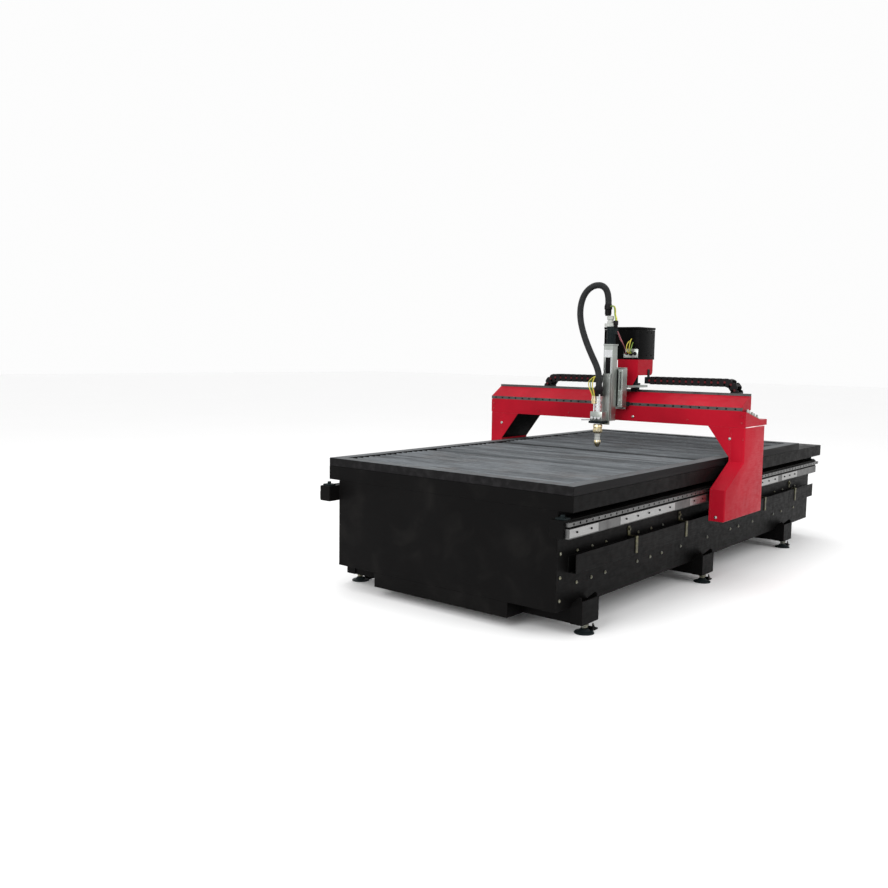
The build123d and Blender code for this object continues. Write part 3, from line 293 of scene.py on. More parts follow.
def burnt_slat(name, base, top):
    """Steel strip with mill scale, heat tints and spatter, dark bands across the bed as painted shadow, a dark
    line across it at one X, and a pale band along its top edge as a painted reflection.
    """
    finish = Finish(name, Metallic=0.15, Specular_IOR_Level=0.3)
    streak = finish.noise(1.0, 5, finish.stretched(40, 2.2, 55))
    tone = finish.mixed(finish.remap(streak, 0.35, 0.7), shade(base, 0.55), shade(base, 1.45))
    # dark bands across the bed: painted shadow
    painted_shade_bands = finish.remap(finish.noise(1.0, 3, finish.stretched(7, 0.45, 1)), 0.40, 0.58, 0.62, 1.0)
    # darker line across the bed at one X
    off_dark_line = finish.maths("ABSOLUTE", finish.maths("SUBTRACT", finish.distance("X"), DARK_LINE_X))
    dark_line = finish.remap(off_dark_line, 0.006, 0.016, 0.30, 1.0)
    heat = finish.remap(finish.noise(3.1, 5), 0.52, 0.72, 0.0, 0.55)
    tone = finish.mixed(heat, tone, (base[0] * 1.25, base[1] * 0.95, base[2] * 0.78))
    spatter = finish.remap(finish.spots(160), 0.22, 0.12)
    patch = finish.remap(finish.noise(7, 3), 0.55, 0.7, 0.0, 0.4)
    tone = finish.mixed(finish.maths("MULTIPLY", spatter, patch), tone, shade(base, 3.2))
    # paler band along the slats' top edges: a painted reflection of the pale surroundings
    painted_top_reflection = finish.remap(finish.distance("Z"), top - 0.018, top - 0.004, 0.0, 0.9)
    broken = finish.remap(finish.noise(1.0, 4, finish.stretched(90, 5, 60)), *NOISE_SPAN, 0.35, 1.0)
    tone = finish.mixed(finish.maths("MULTIPLY", painted_top_reflection, broken), tone, shade(base, 1.9))
    tone = finish.mixed(finish.maths("MULTIPLY", painted_shade_bands, dark_line), shade(base, 0.12), tone)
    finish.set("Base Color", tone)
    finish.rough(finish.noise(30, 5), NOISE_SPAN, 0.50, 0.78)
    finish.bumped(finish.maths("ADD", finish.noise(240, 4), spatter), 0.2, 0.0006)
    return finish.material


def rim_coat(name, base, top):
    """Rim paint, black on its sides and painted lighter on top as a painted reflection of the pale
    surroundings: long scuffs, slag dust and a painted highlight along its edges.
    """
    finish = Finish(name, Specular_IOR_Level=0.05)
    scuff = finish.noise(1.0, 6, finish.stretched(3, 30, 30), 0.4)
    side = finish.mixed(finish.remap(scuff, 0.4, 0.72), base, shade(base, 2.2))
    grey = finish.mixed(finish.remap(scuff, 0.32, 0.68), (0.060, 0.064, 0.067), (0.118, 0.126, 0.132))
    slag = finish.remap(finish.noise(2.4, 8), 0.5, 0.75, 0.0, 0.6)
    grey = finish.mixed(slag, grey, (0.045, 0.047, 0.048))
    # top face painted grey, sides black: a painted reflection on the top
    tone = finish.mixed(finish.remap(finish.distance("Z"), top - 0.0016, top - 0.0004), side, grey)
    # pale grey along the sharp edges: a painted highlight
    finish.set("Base Color", finish.edge_wear_and_highlight(tone, 0.003, 0.5, (0.09, 0.09, 0.088)))
    finish.rough(scuff, NOISE_SPAN, 0.42, 0.62)
    finish.bumped(finish.noise(300, 3), 0.25, 0.0008)
    return finish.material


def ground_metal(name, base, roughness, along, stain=0.15):
    """Ground, milled or drawn metal: fine lines along one axis, faint stains, and bright edges that are a
    painted highlight.
    """
    finish = Finish(name, Metallic=1.0)
    scale = [900.0, 900.0, 900.0]
    scale[along] = 9.0
    lines = finish.noise(1.0, 3, finish.stretched(*scale))
    tone = finish.mixed(finish.remap(lines, *NOISE_SPAN), shade(base, 0.86), shade(base, 1.08))
    tone = finish.mixed(finish.remap(finish.noise(11, 6), 0.45, 0.75, 0.0, stain), tone, shade(base, 0.35))
    # paler colour along the sharp edges: a painted highlight
    finish.set("Base Color", finish.edge_wear_and_highlight(tone, 0.0012, 0.5, shade(base, 1.4)))
    uneven = finish.maths("ADD", lines, finish.noise(24, 4))
    finish.rough(uneven, SUM_SPAN, roughness - 0.06, roughness + 0.12)
    finish.bumped(lines, 0.16, 0.0003)
    return finish.material


def plated(name, base, second, roughness):
    """Plated or heat-tinted metal whose colour drifts between two tones."""
    finish = Finish(name, Metallic=1.0)
    drift = finish.remap(finish.noise(38, 5, distortion=0.8), 0.35, 0.68)
    stain = finish.remap(finish.noise(150, 4), 0.58, 0.75, 0.0, 0.6)
    finish.set("Base Color", finish.mixed(stain, finish.mixed(drift, base, second), shade(base, 0.3)))
    finish.rough(finish.noise(90, 5), NOISE_SPAN, roughness - 0.05, roughness + 0.15)
    finish.bumped(finish.noise(500, 3), 0.12, 0.0004)
    return finish.material


def moulded(name, base, roughness, texture=700, gloss=0.25):
    """Moulded plastic with a fine spark texture and handling marks."""
    finish = Finish(name, Specular_IOR_Level=gloss)
    tone = finish.mixed(finish.remap(finish.noise(16, 6), 0.35, 0.7), shade(base, 0.8), shade(base, 1.25))
    finish.set("Base Color", finish.edge_wear_and_highlight(tone, 0.0010, 0.4, shade(base, 3.0)))
    finish.rough(finish.noise(70, 4), NOISE_SPAN, roughness - 0.08, roughness + 0.10)
    finish.bumped(finish.noise(texture, 2), 0.2, 0.0003)
    return finish.material


def woven_sleeve(name, base):
    """Braided sleeve: two crossing sets of strands that follow the hose on its own UV map."""
    finish = Finish(name, Specular_IOR_Level=0.2, Sheen_Weight=0.06, Sheen_Roughness=0.4)
    spot = finish.add("ShaderNodeSeparateXYZ")
    finish.feed(spot.inputs[0], finish.add("ShaderNodeUVMap", uv_map="UVMap").outputs[0])
    along = finish.maths("MULTIPLY", spot.outputs["X"], FULL_TURN * STRANDS_ALONG)
    around = finish.maths("MULTIPLY", spot.outputs["Y"], FULL_TURN * STRANDS_AROUND)
    left = finish.maths("SINE", finish.maths("ADD", along, around))
    right = finish.maths("SINE", finish.maths("SUBTRACT", along, around))
    weave = finish.remap(finish.maths("MAXIMUM", left, right), -0.2, 1.0)
    dust = finish.remap(finish.noise(9, 6), 0.45, 0.75, 0.0, 0.35)
    # strands painted lighter on their crowns and darker between them: painted highlight and painted shade
    tone = finish.mixed(weave, shade(base, 0.45), shade(base, 1.5))
    finish.set("Base Color", finish.mixed(dust, tone, (0.022, 0.023, 0.023)))
    finish.rough(finish.noise(40, 4), NOISE_SPAN, 0.42, 0.62)
    finish.bumped(weave, 0.55, 0.0012)
    return finish.material


def studio_floor(name):
    """Pale seamless floor with a barely uneven surface."""
    finish = Finish(name, Specular_IOR_Level=0.2)
    finish.set("Base Color", finish.mixed(finish.noise(0.6, 3), (0.955, 0.955, 0.955), (0.975, 0.975, 0.975)))
    finish.rough(finish.noise(3, 3), NOISE_SPAN, 0.75, 0.9)
    return finish.material


WORN_STEEL = (0.055, 0.055, 0.053)
GREY_DUST = (0.016, 0.015, 0.014)
RUBBED_RED = (0.46, 0.16, 0.16)
RED_DUST = (0.42, 0.022, 0.032)
finishes = {}


def make_finishes():
    """Every finish, by the record's slot name or by the name of the small piece that wears it."""
    tone = bpy.context.scene.table_colours
    slat_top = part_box("slats")[1].z
    finishes.update({
        "black_paint": powder_coat("Black paint", tuple(tone.black), 0.42, WORN_STEEL, GREY_DUST, 0.30),
        "red_paint": powder_coat("Red paint", tuple(tone.red), 0.36, RUBBED_RED, RED_DUST, 0.08, 0.05),
        "box_black": powder_coat("Box paint", tuple(tone.box), 0.24, WORN_STEEL, GREY_DUST, 0.05, 0.02),
        "motor_black": powder_coat("Motor paint", tuple(tone.motor), 0.38, WORN_STEEL, GREY_DUST, 0.25),
        "bed_paint": rim_coat("Rim paint", tuple(tone.rim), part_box("rim_frame")[1].z),
        "hook_zinc": plated("Worn zinc", shade(tone.zinc, 0.30), (0.16, 0.15, 0.08), 0.42),
        "ledge_paint": rim_coat("Ledge paint", tuple(tone.rim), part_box("deck_ledge")[1].z),
        "slat_steel": burnt_slat("Burnt slat steel", tuple(tone.slat), slat_top),
        "rail_steel": ground_metal("Ground steel", tuple(tone.steel), 0.30, 0),
        "dull_steel": ground_metal("Dull steel", shade(tone.steel, 0.42), 0.42, 0, 0.5),
        "guide_steel": ground_metal("Worn guide steel", shade(tone.steel, 0.38), 0.34, 0, 0.5),
        # darker copy of the ground steel for the bridge's guides and rack: painted shade
        "shaded_cross_steel": ground_metal("Dark guide steel", shade(tone.steel, 0.26), 0.38, 1, 0.6),
        "aluminium": ground_metal("Anodised aluminium", tuple(tone.aluminium), 0.36, 2, 0.22),
        "chrome": ground_metal("Polished steel", (0.70, 0.71, 0.72), 0.16, 2, 0.25),
        "zinc": plated("Yellow zinc", tuple(tone.zinc), (0.24, 0.25, 0.23), 0.34),
        "brass": plated("Brass", tuple(tone.brass), (0.72, 0.65, 0.48), 0.30),
        "black_plastic": moulded("Black plastic", tuple(tone.plastic), 0.46, gloss=0.12),
        "white_plastic": moulded("White plastic", tuple(tone.white), 0.40),
        "yellow_wire": moulded("Yellow wire", (0.50, 0.44, 0.06), 0.42, 300),
        "green_wire": moulded("Green wire", (0.16, 0.26, 0.05), 0.42, 300),
        "pink_wire": moulded("Pale red wire", (0.32, 0.11, 0.12), 0.45, 300),
        "red_plastic": moulded("Red plastic", (0.085, 0.009, 0.013), 0.40, gloss=0.12),
        # pale strip in the gap under a leg cap: a painted highlight
        "painted_gap_highlight": moulded("Painted gap highlight", (0.80, 0.62, 0.62), 0.45),
        "hose_rubber": woven_sleeve("Woven sleeve", tuple(tone.rubber)),
    })


# ---- making pieces ----
def add_block(bm, low, high):
    """Box between two corners; returns its vertices."""
    low, high = Vector(low), Vector(high)
    made = bmesh.ops.create_cube(bm, size=1.0)["verts"]
    place = Matrix.Translation((low + high) / 2) @ Matrix.Diagonal((*(high - low), 1.0))
    bmesh.ops.transform(bm, matrix=place, verts=made)
    return made


def edges_of(verts):
    """Edges that touch any of the vertices, each once and always in the same order."""
    return list(dict.fromkeys(edge for vert in verts for edge in vert.link_edges))


def chamfer_block(bm, low, high, width, segments=2):
    """Box with all its edges rounded off."""
    edges = edges_of(add_block(bm, low, high))
    bmesh.ops.bevel(bm, geom=edges, offset=width, segments=segments, affect="EDGES", profile=0.5, material=-1)


def add_rod(bm, start, end, radius, sides=16):
    """Round bar between two points; returns its vertices."""
    start, end = Vector(start), Vector(end)
    along = end - start
    made = bmesh.ops.create_cone(bm, cap_ends=True, segments=sides, radius1=radius, radius2=radius,
                                 depth=along.length)["verts"]
    place = Matrix.Translation((start + end) / 2) @ along.to_track_quat("Z", "Y").to_matrix().to_4x4()
    bmesh.ops.transform(bm, matrix=place, verts=made)
    return made


def add_turned(bm, base, outline, steps=32, along=AXIS_Z):
    """Turned solid: (radius, height) pairs from pole to pole, spun about an axis through base."""
    before = set(bm.verts)
    verts = [bm.verts.new((radius, 0, height)) for radius, height in outline]
    edges = [bm.edges.new(pair) for pair in zip(verts, verts[1:])]
    bmesh.ops.spin(bm, geom=verts + edges, cent=(0, 0, 0), axis=(0, 0, 1), dvec=(0, 0, 0),
                   angle=FULL_TURN, steps=steps, use_merge=True, use_duplicate=False)
    made = [vert for vert in bm.verts if vert not in before]
    bmesh.ops.remove_doubles(bm, verts=made, dist=1e-6)
    made = [vert for vert in bm.verts if vert not in before]
    place = Matrix.Translation(Vector(base)) @ Vector(along).to_track_quat("Z", "Y").to_matrix().to_4x4()
    bmesh.ops.transform(bm, matrix=place, verts=made)


def add_screw(bm, seat, out, radius, height, sides=12):
    """Cap screw head standing on a face, with the socket sunk in its top."""
    out = Vector(out).normalized()
    seat = Vector(seat)
    made = add_rod(bm, seat, seat + out * height, radius, sides)
    faces = {face for vert in made for face in vert.link_faces}
    top = max(faces, key=lambda face: face.calc_center_median().dot(out))
    bmesh.ops.inset_individual(bm, faces=[top], thickness=radius * 0.42, depth=0.0)
    sunk = bmesh.ops.extrude_discrete_faces(bm, faces=[top])["faces"]
    bmesh.ops.translate(bm, verts=list(sunk[0].verts), vec=-out * height * 0.55)


def screw_grid(bm, xs, ys, zs, out, size):
    """Screws at every crossing of the given places; size is their head's (radius, height)."""
    for place in product(xs, ys, zs):
        add_screw(bm, place, out, *size)


def scaled(outline, radius, tall=1.0):
    """Outline for add_turned from one drawn in shares of a radius and a height."""
    return [(share * radius, height * tall) for share, height in outline]


def add_hex(bm, base, top, radius, lift=0.12):
    """Hexagon nut or head with its corners turned off."""
    made = add_rod(bm, base, top, radius, 6)
    rims = [edge for edge in edges_of(made) if any(len(face.verts) == 6 for face in edge.link_faces)]
    bmesh.ops.bevel(bm, geom=rims, offset=radius * lift, segments=1, affect="EDGES", profile=0.5, material=-1)


def finished(name, bm, body, slot, finish=None, bevel=0.0, sharp=32):
    """Turns a bmesh into a piece that wears its finish and rides on a body."""
    bmesh.ops.recalc_face_normals(bm, faces=bm.faces)
    mesh = bpy.data.meshes.new(name)
    bm.to_mesh(mesh)
    bm.free()
    mesh.shade_smooth()
    mesh.set_sharp_from_angle(angle=math.radians(sharp))
    piece = bpy.data.objects.new(name, mesh)
    bpy.context.scene.collection.objects.link(piece)
    mesh.materials.append(finishes[finish or slot])
    if bevel:
        edge = piece.modifiers.new("Rounded edges", "BEVEL")
        edge.width = bevel
        edge.segments = 2
        edge.limit_method = "ANGLE"
        edge.harden_normals = True
    if body:
        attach(piece, body)
    return piece


def cut_away(solid, cutter):
    """Solid with the cutter's volume taken off it, both bmeshes; returns a new bmesh."""
    objects = []
    for label, bm in (("solid", solid), ("cutter", cutter)):
        bmesh.ops.recalc_face_normals(bm, faces=bm.faces)
        mesh = bpy.data.meshes.new(label)
        bm.to_mesh(mesh)
        bm.free()
        objects.append(bpy.data.objects.new(label, mesh))
        bpy.context.scene.collection.objects.link(objects[-1])
    cut = objects[0].modifiers.new("Cut", "BOOLEAN")
    cut.operation = "DIFFERENCE"
    cut.solver = "EXACT"
    cut.object = objects[1]
    graph = bpy.context.evaluated_depsgraph_get()
    mesh = bpy.data.meshes.new_from_object(objects[0].evaluated_get(graph))
    result = bmesh.new()
    result.from_mesh(mesh)
    bpy.data.meshes.remove(mesh)
    for item in objects:
        spent = item.data
        bpy.data.objects.remove(item)
        bpy.data.meshes.remove(spent)
    return result


def solids_of(node):
    """(lowest corner, highest corner) of each separate solid of a frame node."""
    bm = bmesh.new()
    bm.from_mesh(frame["nodes"][node].data)
    bmesh.ops.remove_doubles(bm, verts=bm.verts, dist=WELD)
    left = set(bm.verts)
    boxes = []
    while left:
        group, edge = set(), [left.pop()]
        while edge:
            vert = edge.pop()
            group.add(vert)
            near = {e.other_vert(vert) for e in vert.link_edges} & left
            left -= near
            edge.extend(near)
        low = Vector(min(vert.co[i] for vert in group) for i in range(3))
        high = Vector(max(vert.co[i] for vert in group) for i in range(3))
        boxes.append((low, high))
    bm.free()
    return sorted(boxes, key=lambda box: (round(box[0].x, 3), round(box[0].y, 3), box[0].z))


def middle(box):
    return (box[0] + box[1]) / 2


def nurbs_line(name, route, radius):
    """Smooth curve with the route's points as its control points, and a round section."""
    curve = bpy.data.curves.new(name, "CURVE")
    curve.dimensions = "3D"
    curve.resolution_u = 12
    curve.bevel_depth = radius
    curve.bevel_resolution = 5
    curve.use_fill_caps = radius > 0
    spline = curve.splines.new("NURBS")
    spline.points.add(len(route) - 1)
    for point, place in zip(spline.points, route):
        point.co = (*place, 1.0)
    spline.order_u = 3
    spline.use_endpoint_u = True
    line = bpy.data.objects.new(name, curve)
    bpy.context.scene.collection.objects.link(line)
    return line


def line_points(route):
    """Points along the route's smooth curve."""
    line = nurbs_line("route", route, 0.0)
    graph = bpy.context.evaluated_depsgraph_get()
    mesh = bpy.data.meshes.new_from_object(line.evaluated_get(graph))
    points = [vert.co.copy() for vert in mesh.vertices]
    curve = line.data
    bpy.data.objects.remove(line)
    bpy.data.curves.remove(curve)
    bpy.data.meshes.remove(mesh)
    return points


def run_length(points):
    return sum((b - a).length for a, b in zip(points, points[1:]))


def wire(name, route, diameter, body, slot, finish):
    """Short wire between two fittings on one body."""
    line = nurbs_line(name, route, diameter / 2)
    line.data.materials.append(finishes[finish])
    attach(line, body)
    run_length(line_points(route))
    return line


# ---- the pieces, one operator to each group ----
OWN_FINISH = {"deck_ledge": "ledge_paint", "trough_hooks": "hook_zinc"}


class CUTTINGTABLE_OT_paint(bpy.types.Operator):
    """Give every part of the frame its finish"""

    bl_idname = "cutting_table.paint"
    bl_label = "Paint the frame"

    def execute(self, context):
        make_finishes()
        for part in frame["record"]["subparts"]:
            item = frame["nodes"][part["node"]]
            for place in item.material_slots:
                place.material = finishes[OWN_FINISH.get(part["node"], part["material_slot"])]
        return {"FINISHED"}


# each folded or machined piece with the width of its edge rounding, in millimetres
ROUNDED = {
    "tray_frame": 2, "rim_frame": 4, "side_panels": 1.5, "end_panels": 1.5, "fume_plenum": 2,
    "cross_beams": 3, "leg_brackets": 2, "anchor_lugs": 1, "front_rail_beam": 4, "back_rail_beam": 4,
    "rail_end_stops": 1, "cable_trough": 1, "trough_hooks": 1, "front_leg": 1.2, "back_leg": 1.2,
    "haunches": 1, "leg_plates": 1.5, "leg_drives": 2, "gantry_beam": 1.2, "beam_casing": 2, "leg_caps": 1.5,
    "chain_tray": 0.8, "guide_blocks": 1.5, "saddle": 1.5, "saddle_blocks": 1, "cross_drive": 1.5,
    "lift_housing": 1.5, "lift_side_plate": 1.2, "lift_cap": 1, "lift_slide": 1, "control_bracket": 1,
    "chain_brackets": 1, "deck_ledge": 1,
}
FOLD = 0.008          # radius of the legs' outer folds
FOLD_ANGLE = 0.5
ON_FACE = 0.0005


class CUTTINGTABLE_OT_rounding(bpy.types.Operator):
    """Sheet metal and machined blocks with rounded edges, and wider folds round the legs' outer sides"""

    bl_idname = "cutting_table.rounding"
    bl_label = "Rounded edges"

    def execute(self, context):
        record = frame["record"]
        bodies = {node: body for body, nodes in record["behaviour"]["bodies"].items() for node in nodes}
        slots = {part["node"]: part["material_slot"] for part in record["subparts"]}
        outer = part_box("back_leg")[1].y
        for node, width in ROUNDED.items():
            bm = bmesh.new()
            bm.from_mesh(frame["nodes"][node].data)
            bmesh.ops.remove_doubles(bm, verts=bm.verts, dist=WELD)
            bmesh.ops.dissolve_limit(bm, angle_limit=math.radians(1), verts=bm.verts, edges=bm.edges)
            if node in ("front_leg", "back_leg"):
                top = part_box(node)[1].z
                folds = [edge for edge in bm.edges if len(edge.link_faces) == 2
                         and edge.calc_face_angle() > FOLD_ANGLE
                         and all(abs(vert.co.y) > outer - ON_FACE for vert in edge.verts)
                         and not all(vert.co.z > top - ON_FACE for vert in edge.verts)]
                bmesh.ops.bevel(bm, geom=folds, offset=FOLD, segments=4, affect="EDGES", profile=0.5,
                                material=-1, clamp_overlap=True)
            finish = OWN_FINISH.get(node, slots[node])
            piece = finished(node + "_rounded", bm, bodies[node], slots[node], finish, width * MM, sharp=28)
            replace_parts(piece, node)
        return {"FINISHED"}


def drilled_guide(low, high, along, out, sizes):
    """Profile guide with ball grooves on two faces and a row of counterbored holes facing out."""
    bar = bmesh.new()
    add_block(bar, low, high)
    cutter = bmesh.new()
    out = Vector(out)
    run = (AXIS_X, AXIS_Y)[along]
    side = run.cross(out)
    mid = (low + high) / 2
    half = (high - low) / 2
    reach = abs(half.dot(side))
    face = abs(half.dot(out))
    for way in SIDES:
        centre = mid + side * way * reach
        spread = run * (half[along] + 0.01) + side * sizes.groove / 2 + out * sizes.groove / 2
        spread = Vector(abs(part) for part in spread)
        add_block(cutter, centre - spread, centre + spread)
    count = int(2 * half[along] / sizes.hole_pitch)
    start = mid - run * sizes.hole_pitch * (count - 1) / 2
    holes = [start + run * sizes.hole_pitch * i + out * face for i in range(count)]
    for hole in holes:
        add_rod(cutter, hole - out * sizes.hole_depth, hole + out * 0.002, sizes.hole_radius, 16)
    return cut_away(bar, cutter), holes


def hole_screws(holes, out, sizes):
    """Screw heads at the bottom of a guide's holes."""
    bm = bmesh.new()
    out = Vector(out)
    for hole in holes:
        floor = hole - out * sizes.hole_depth
        add_screw(bm, floor, out, sizes.hole_radius * 0.86, sizes.hole_depth * 0.45)
    return bm


class CUTTINGTABLE_OT_guides(bpy.types.Operator):
    """Drilled profile guides along both sides of the table and along the bridge"""

    bl_idname = "cutting_table.guides"
    bl_label = "Profile guides"

    def execute(self, context):
        sizes = context.scene.rail_sizes
        for side, label, (low, high) in zip(SIDES, ("front", "back"), solids_of("guide_rails")):
            out = AXIS_Y * side
            bm, holes = drilled_guide(low, high, 0, out, sizes)
            guide = finished(label + "_guide_rail", bm, "table", "rail_steel", "guide_steel")
            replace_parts(guide, "guide_rails")
            screws = hole_screws(holes, out, sizes)
            finished(label + "_guide_screws", screws, "table", "rail_steel", "black_plastic")
        lower, upper = sorted(solids_of("beam_guides"), key=lambda box: box[0].z)
        for label, (low, high), out in (("lower", lower, -AXIS_X), ("upper", upper, AXIS_Z)):
            bm, holes = drilled_guide(low, high, 1, out, sizes)
            guide = finished(label + "_cross_guide", bm, "gantry", "rail_steel", "shaded_cross_steel")
            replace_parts(guide, "beam_guides")
            screws = hole_screws(holes, out, sizes)
            finished(label + "_cross_guide_screws", screws, "gantry", "rail_steel", "black_plastic")
        return {"FINISHED"}


def add_tooth(bm, root, run, out, width, across, sizes):
    """One rack tooth: a short bar that narrows towards its tip."""
    half_root = sizes.tooth_pitch * 0.36
    made = add_block(bm, (-half_root, -width / 2, 0), (half_root, width / 2, sizes.tooth_height))
    tips = [vert for vert in made if vert.co.z > sizes.tooth_height / 2]
    bmesh.ops.scale(bm, vec=(0.45, 1, 1), verts=tips)
    turn = Matrix((run, across, out)).transposed().to_4x4()
    bmesh.ops.transform(bm, matrix=Matrix.Translation(root) @ turn, verts=made)


def toothed_rack(low, high, along, out, sizes):
    """Rack bar with teeth on one face."""
    bm = bmesh.new()
    out = Vector(out)
    run = (AXIS_X, AXIS_Y)[along]
    across = out.cross(run)
    mid = (low + high) / 2
    half = (high - low) / 2
    width = 2 * abs(half.dot(across))
    core_low, core_high = low.copy(), high.copy()
    if sum(out) > 0:
        core_high -= out * sizes.tooth_height
    else:
        core_low -= out * sizes.tooth_height
    add_block(bm, core_low, core_high)
    count = int(2 * half[along] / sizes.tooth_pitch)
    root = mid + out * (abs(half.dot(out)) - sizes.tooth_height) - run * sizes.tooth_pitch * (count - 1) / 2
    for i in range(count):
        add_tooth(bm, root + run * sizes.tooth_pitch * i, run, out, width, across, sizes)
    return bm


# start and end of each bright cover strip on the racks, along the table
PALE_SPANS = ((-1.878, -1.604), (-1.378, -0.738), (-0.536, -0.309), (0.560, 0.923), (1.000, 1.320))
STRIP = 0.0016
STRIP_SCREW_GAP = 0.12
STRIP_SCREW = (0.0055, 0.004)


class CUTTINGTABLE_OT_racks(bpy.types.Operator):
    """Toothed racks under the guides and along the bridge, with bright cover strips on the front one"""

    bl_idname = "cutting_table.racks"
    bl_label = "Racks"

    def execute(self, context):
        sizes = context.scene.rail_sizes
        bars = solids_of("rack_bars")
        for side, label in zip(SIDES, ("front", "back")):
            bm = bmesh.new()
            for low, high in (bar for bar in bars if bar[0].y * side > 0):
                part = toothed_rack(low, high, 0, -AXIS_Z, sizes)
                mesh = bpy.data.meshes.new("part")
                part.to_mesh(mesh)
                part.free()
                bm.from_mesh(mesh)
                bpy.data.meshes.remove(mesh)
            rack = finished(label + "_rack", bm, "table", "rail_steel", "dull_steel")
            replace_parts(rack, "rack_bars")
        low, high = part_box("rack_bars")
        for side, label in zip(SIDES, ("front", "back")):
            face = side * high.y
            strips = bmesh.new()
            screws = bmesh.new()
            for start, end in PALE_SPANS:
                near, far = sorted((face, face + side * STRIP))
                add_block(strips, (start, near, low.z + 0.006), (end, far, high.z - 0.001))
                count = max(2, round((end - start) / STRIP_SCREW_GAP))
                xs = [start + (end - start) * (i + 0.5) / count for i in range(count)]
                middle_z = (low.z + high.z) / 2 + 0.004
                screw_grid(screws, xs, (face + side * STRIP,), (middle_z,), AXIS_Y * side, STRIP_SCREW)
            finished(label + "_rack_strips", strips, "table", "rail_steel", bevel=0.0005)
            finished(label + "_rack_screws", screws, "table", "zinc", "black_plastic")
        low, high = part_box("beam_rack")
        teeth = toothed_rack(low, high, 1, AXIS_X, sizes)
        rack = finished("cross_rack", teeth, "gantry", "rail_steel", "shaded_cross_steel")
        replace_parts(rack, "beam_rack")
        return {"FINISHED"}


SLAT_STEPS = 56
SLAT_PLAY = 0.0003
DEEPEST_NICK = 0.0026
NICK_STEP = 0.0011


class CUTTINGTABLE_OT_slats(bpy.types.Operator):
    """Bed slats with ragged, burnt top edges"""

    bl_idname = "cutting_table.slats"
    bl_label = "Bed slats"

    def execute(self, context):
        pick = random.Random(context.scene.stage_sizes.seed)
        tray_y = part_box("slat_combs")[1].y - SLAT_PLAY
        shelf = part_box("rim_frame")[0].z + SLAT_PLAY
        bm = bmesh.new()
        for low, high in solids_of("slats"):
            made = bmesh.ops.create_grid(bm, x_segments=SLAT_STEPS, y_segments=3, size=1.0)["verts"]
            rows = sorted({round(vert.co.y, 3) for vert in made})
            heights = (low.z, shelf - 0.001, shelf, high.z)
            nick = 0.0
            for vert in sorted(made, key=lambda item: (item.co.y, item.co.x)):
                row = rows.index(round(vert.co.y, 3))
                y = vert.co.x * high.y
                if row < 2:
                    y = max(-tray_y, min(tray_y, y))
                z = heights[row]
                if row == 3:
                    nick = max(0.0, min(DEEPEST_NICK, nick + pick.uniform(-NICK_STEP, NICK_STEP)))
                    z -= nick
                vert.co = (low.x, y, z)
            faces = list(dict.fromkeys(face for vert in made for face in vert.link_faces))
            grown = bmesh.ops.extrude_face_region(bm, geom=faces, use_keep_orig=True)["geom"]
            moved = [item for item in grown if isinstance(item, bmesh.types.BMVert)]
            bmesh.ops.translate(bm, verts=moved, vec=(high.x - low.x, 0, 0))
        bed = finished("bed_slats", bm, "table", "slat_steel", sharp=50)
        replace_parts(bed, "slats")
        return {"FINISHED"}


WASHER = 0.002
BOLT_HEAD = ((0, 0), (0.72, 0), (0.70, 0.002), (0.48, 0.0048), (0.30, 0.005), (0.26, 0.0026), (0, 0.0026))
RIVET = ((0, 0), (0.010, 0), (0.009, 0.0025), (0.005, 0.0045), (0, 0.005))
BRIDGE_SCREW = (0.006, 0.004)


class CUTTINGTABLE_OT_fasteners(bpy.types.Operator):
    """Screw heads with washers on the cabinet walls, legs and bridge"""

    bl_idname = "cutting_table.fasteners"
    bl_label = "Fasteners"

    def execute(self, context):
        bm = bmesh.new()
        for box in solids_of("panel_bolts"):
            mid = middle(box)
            side = 1 if mid.y > 0 else -1
            wall = box[0].y if side > 0 else box[1].y
            radius = (box[1].x - box[0].x) / 2
            seat = Vector((mid.x, wall, mid.z))
            washer = seat + AXIS_Y * side * WASHER
            add_rod(bm, seat, washer, radius, 20)
            add_turned(bm, washer, scaled(BOLT_HEAD, radius), 12, AXIS_Y * side)
        bolts = finished("wall_bolts", bm, "table", "zinc")
        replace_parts(bolts, "panel_bolts")
        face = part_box("gantry_beam")[0].x
        bm = bmesh.new()
        for side in SIDES:
            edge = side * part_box("back_leg")[1].y
            for y, z in ((0.973, 0.907), (0.962, 1.012), (0.962, 1.052)):
                add_screw(bm, (face, side * y, z), -AXIS_X, *BRIDGE_SCREW)
            add_screw(bm, (0.29, edge - side * 0.006, 1.0), AXIS_Y * side, 0.005, 0.0055)
        screw_grid(bm, (face,), (-0.60, 0.05, 0.30, 0.56), (1.012,), -AXIS_X, BRIDGE_SCREW)
        rivets = bmesh.new()
        places = [(face, -0.205, 1.010)]
        places += [(face, side * 0.887, 0.907) for side in SIDES]
        places += [(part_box("front_leg")[0].x, side * 0.93, 0.445) for side in SIDES]
        for place in places:
            add_turned(rivets, place, RIVET, 20, -AXIS_X)
        finished("gantry_rivets", rivets, "gantry", "zinc", "aluminium")
        finished("gantry_screws", bm, "gantry", "zinc", "red_paint")
        return {"FINISHED"}


# thickness and margin of the black sheets that paint shade on the haunches' undersides
SHADE_SHEET = 0.0015
SHADE_SHEET_MARGIN = 0.004
CAP_GAP = 0.005        # height of the gap under a leg's cap
# place of the pale strips in the gaps under the caps: a painted highlight
GAP_LIGHT_START = -0.012
GAP_LIGHT_IN = 0.0015
GAP_LIGHT_OUT = 0.0003


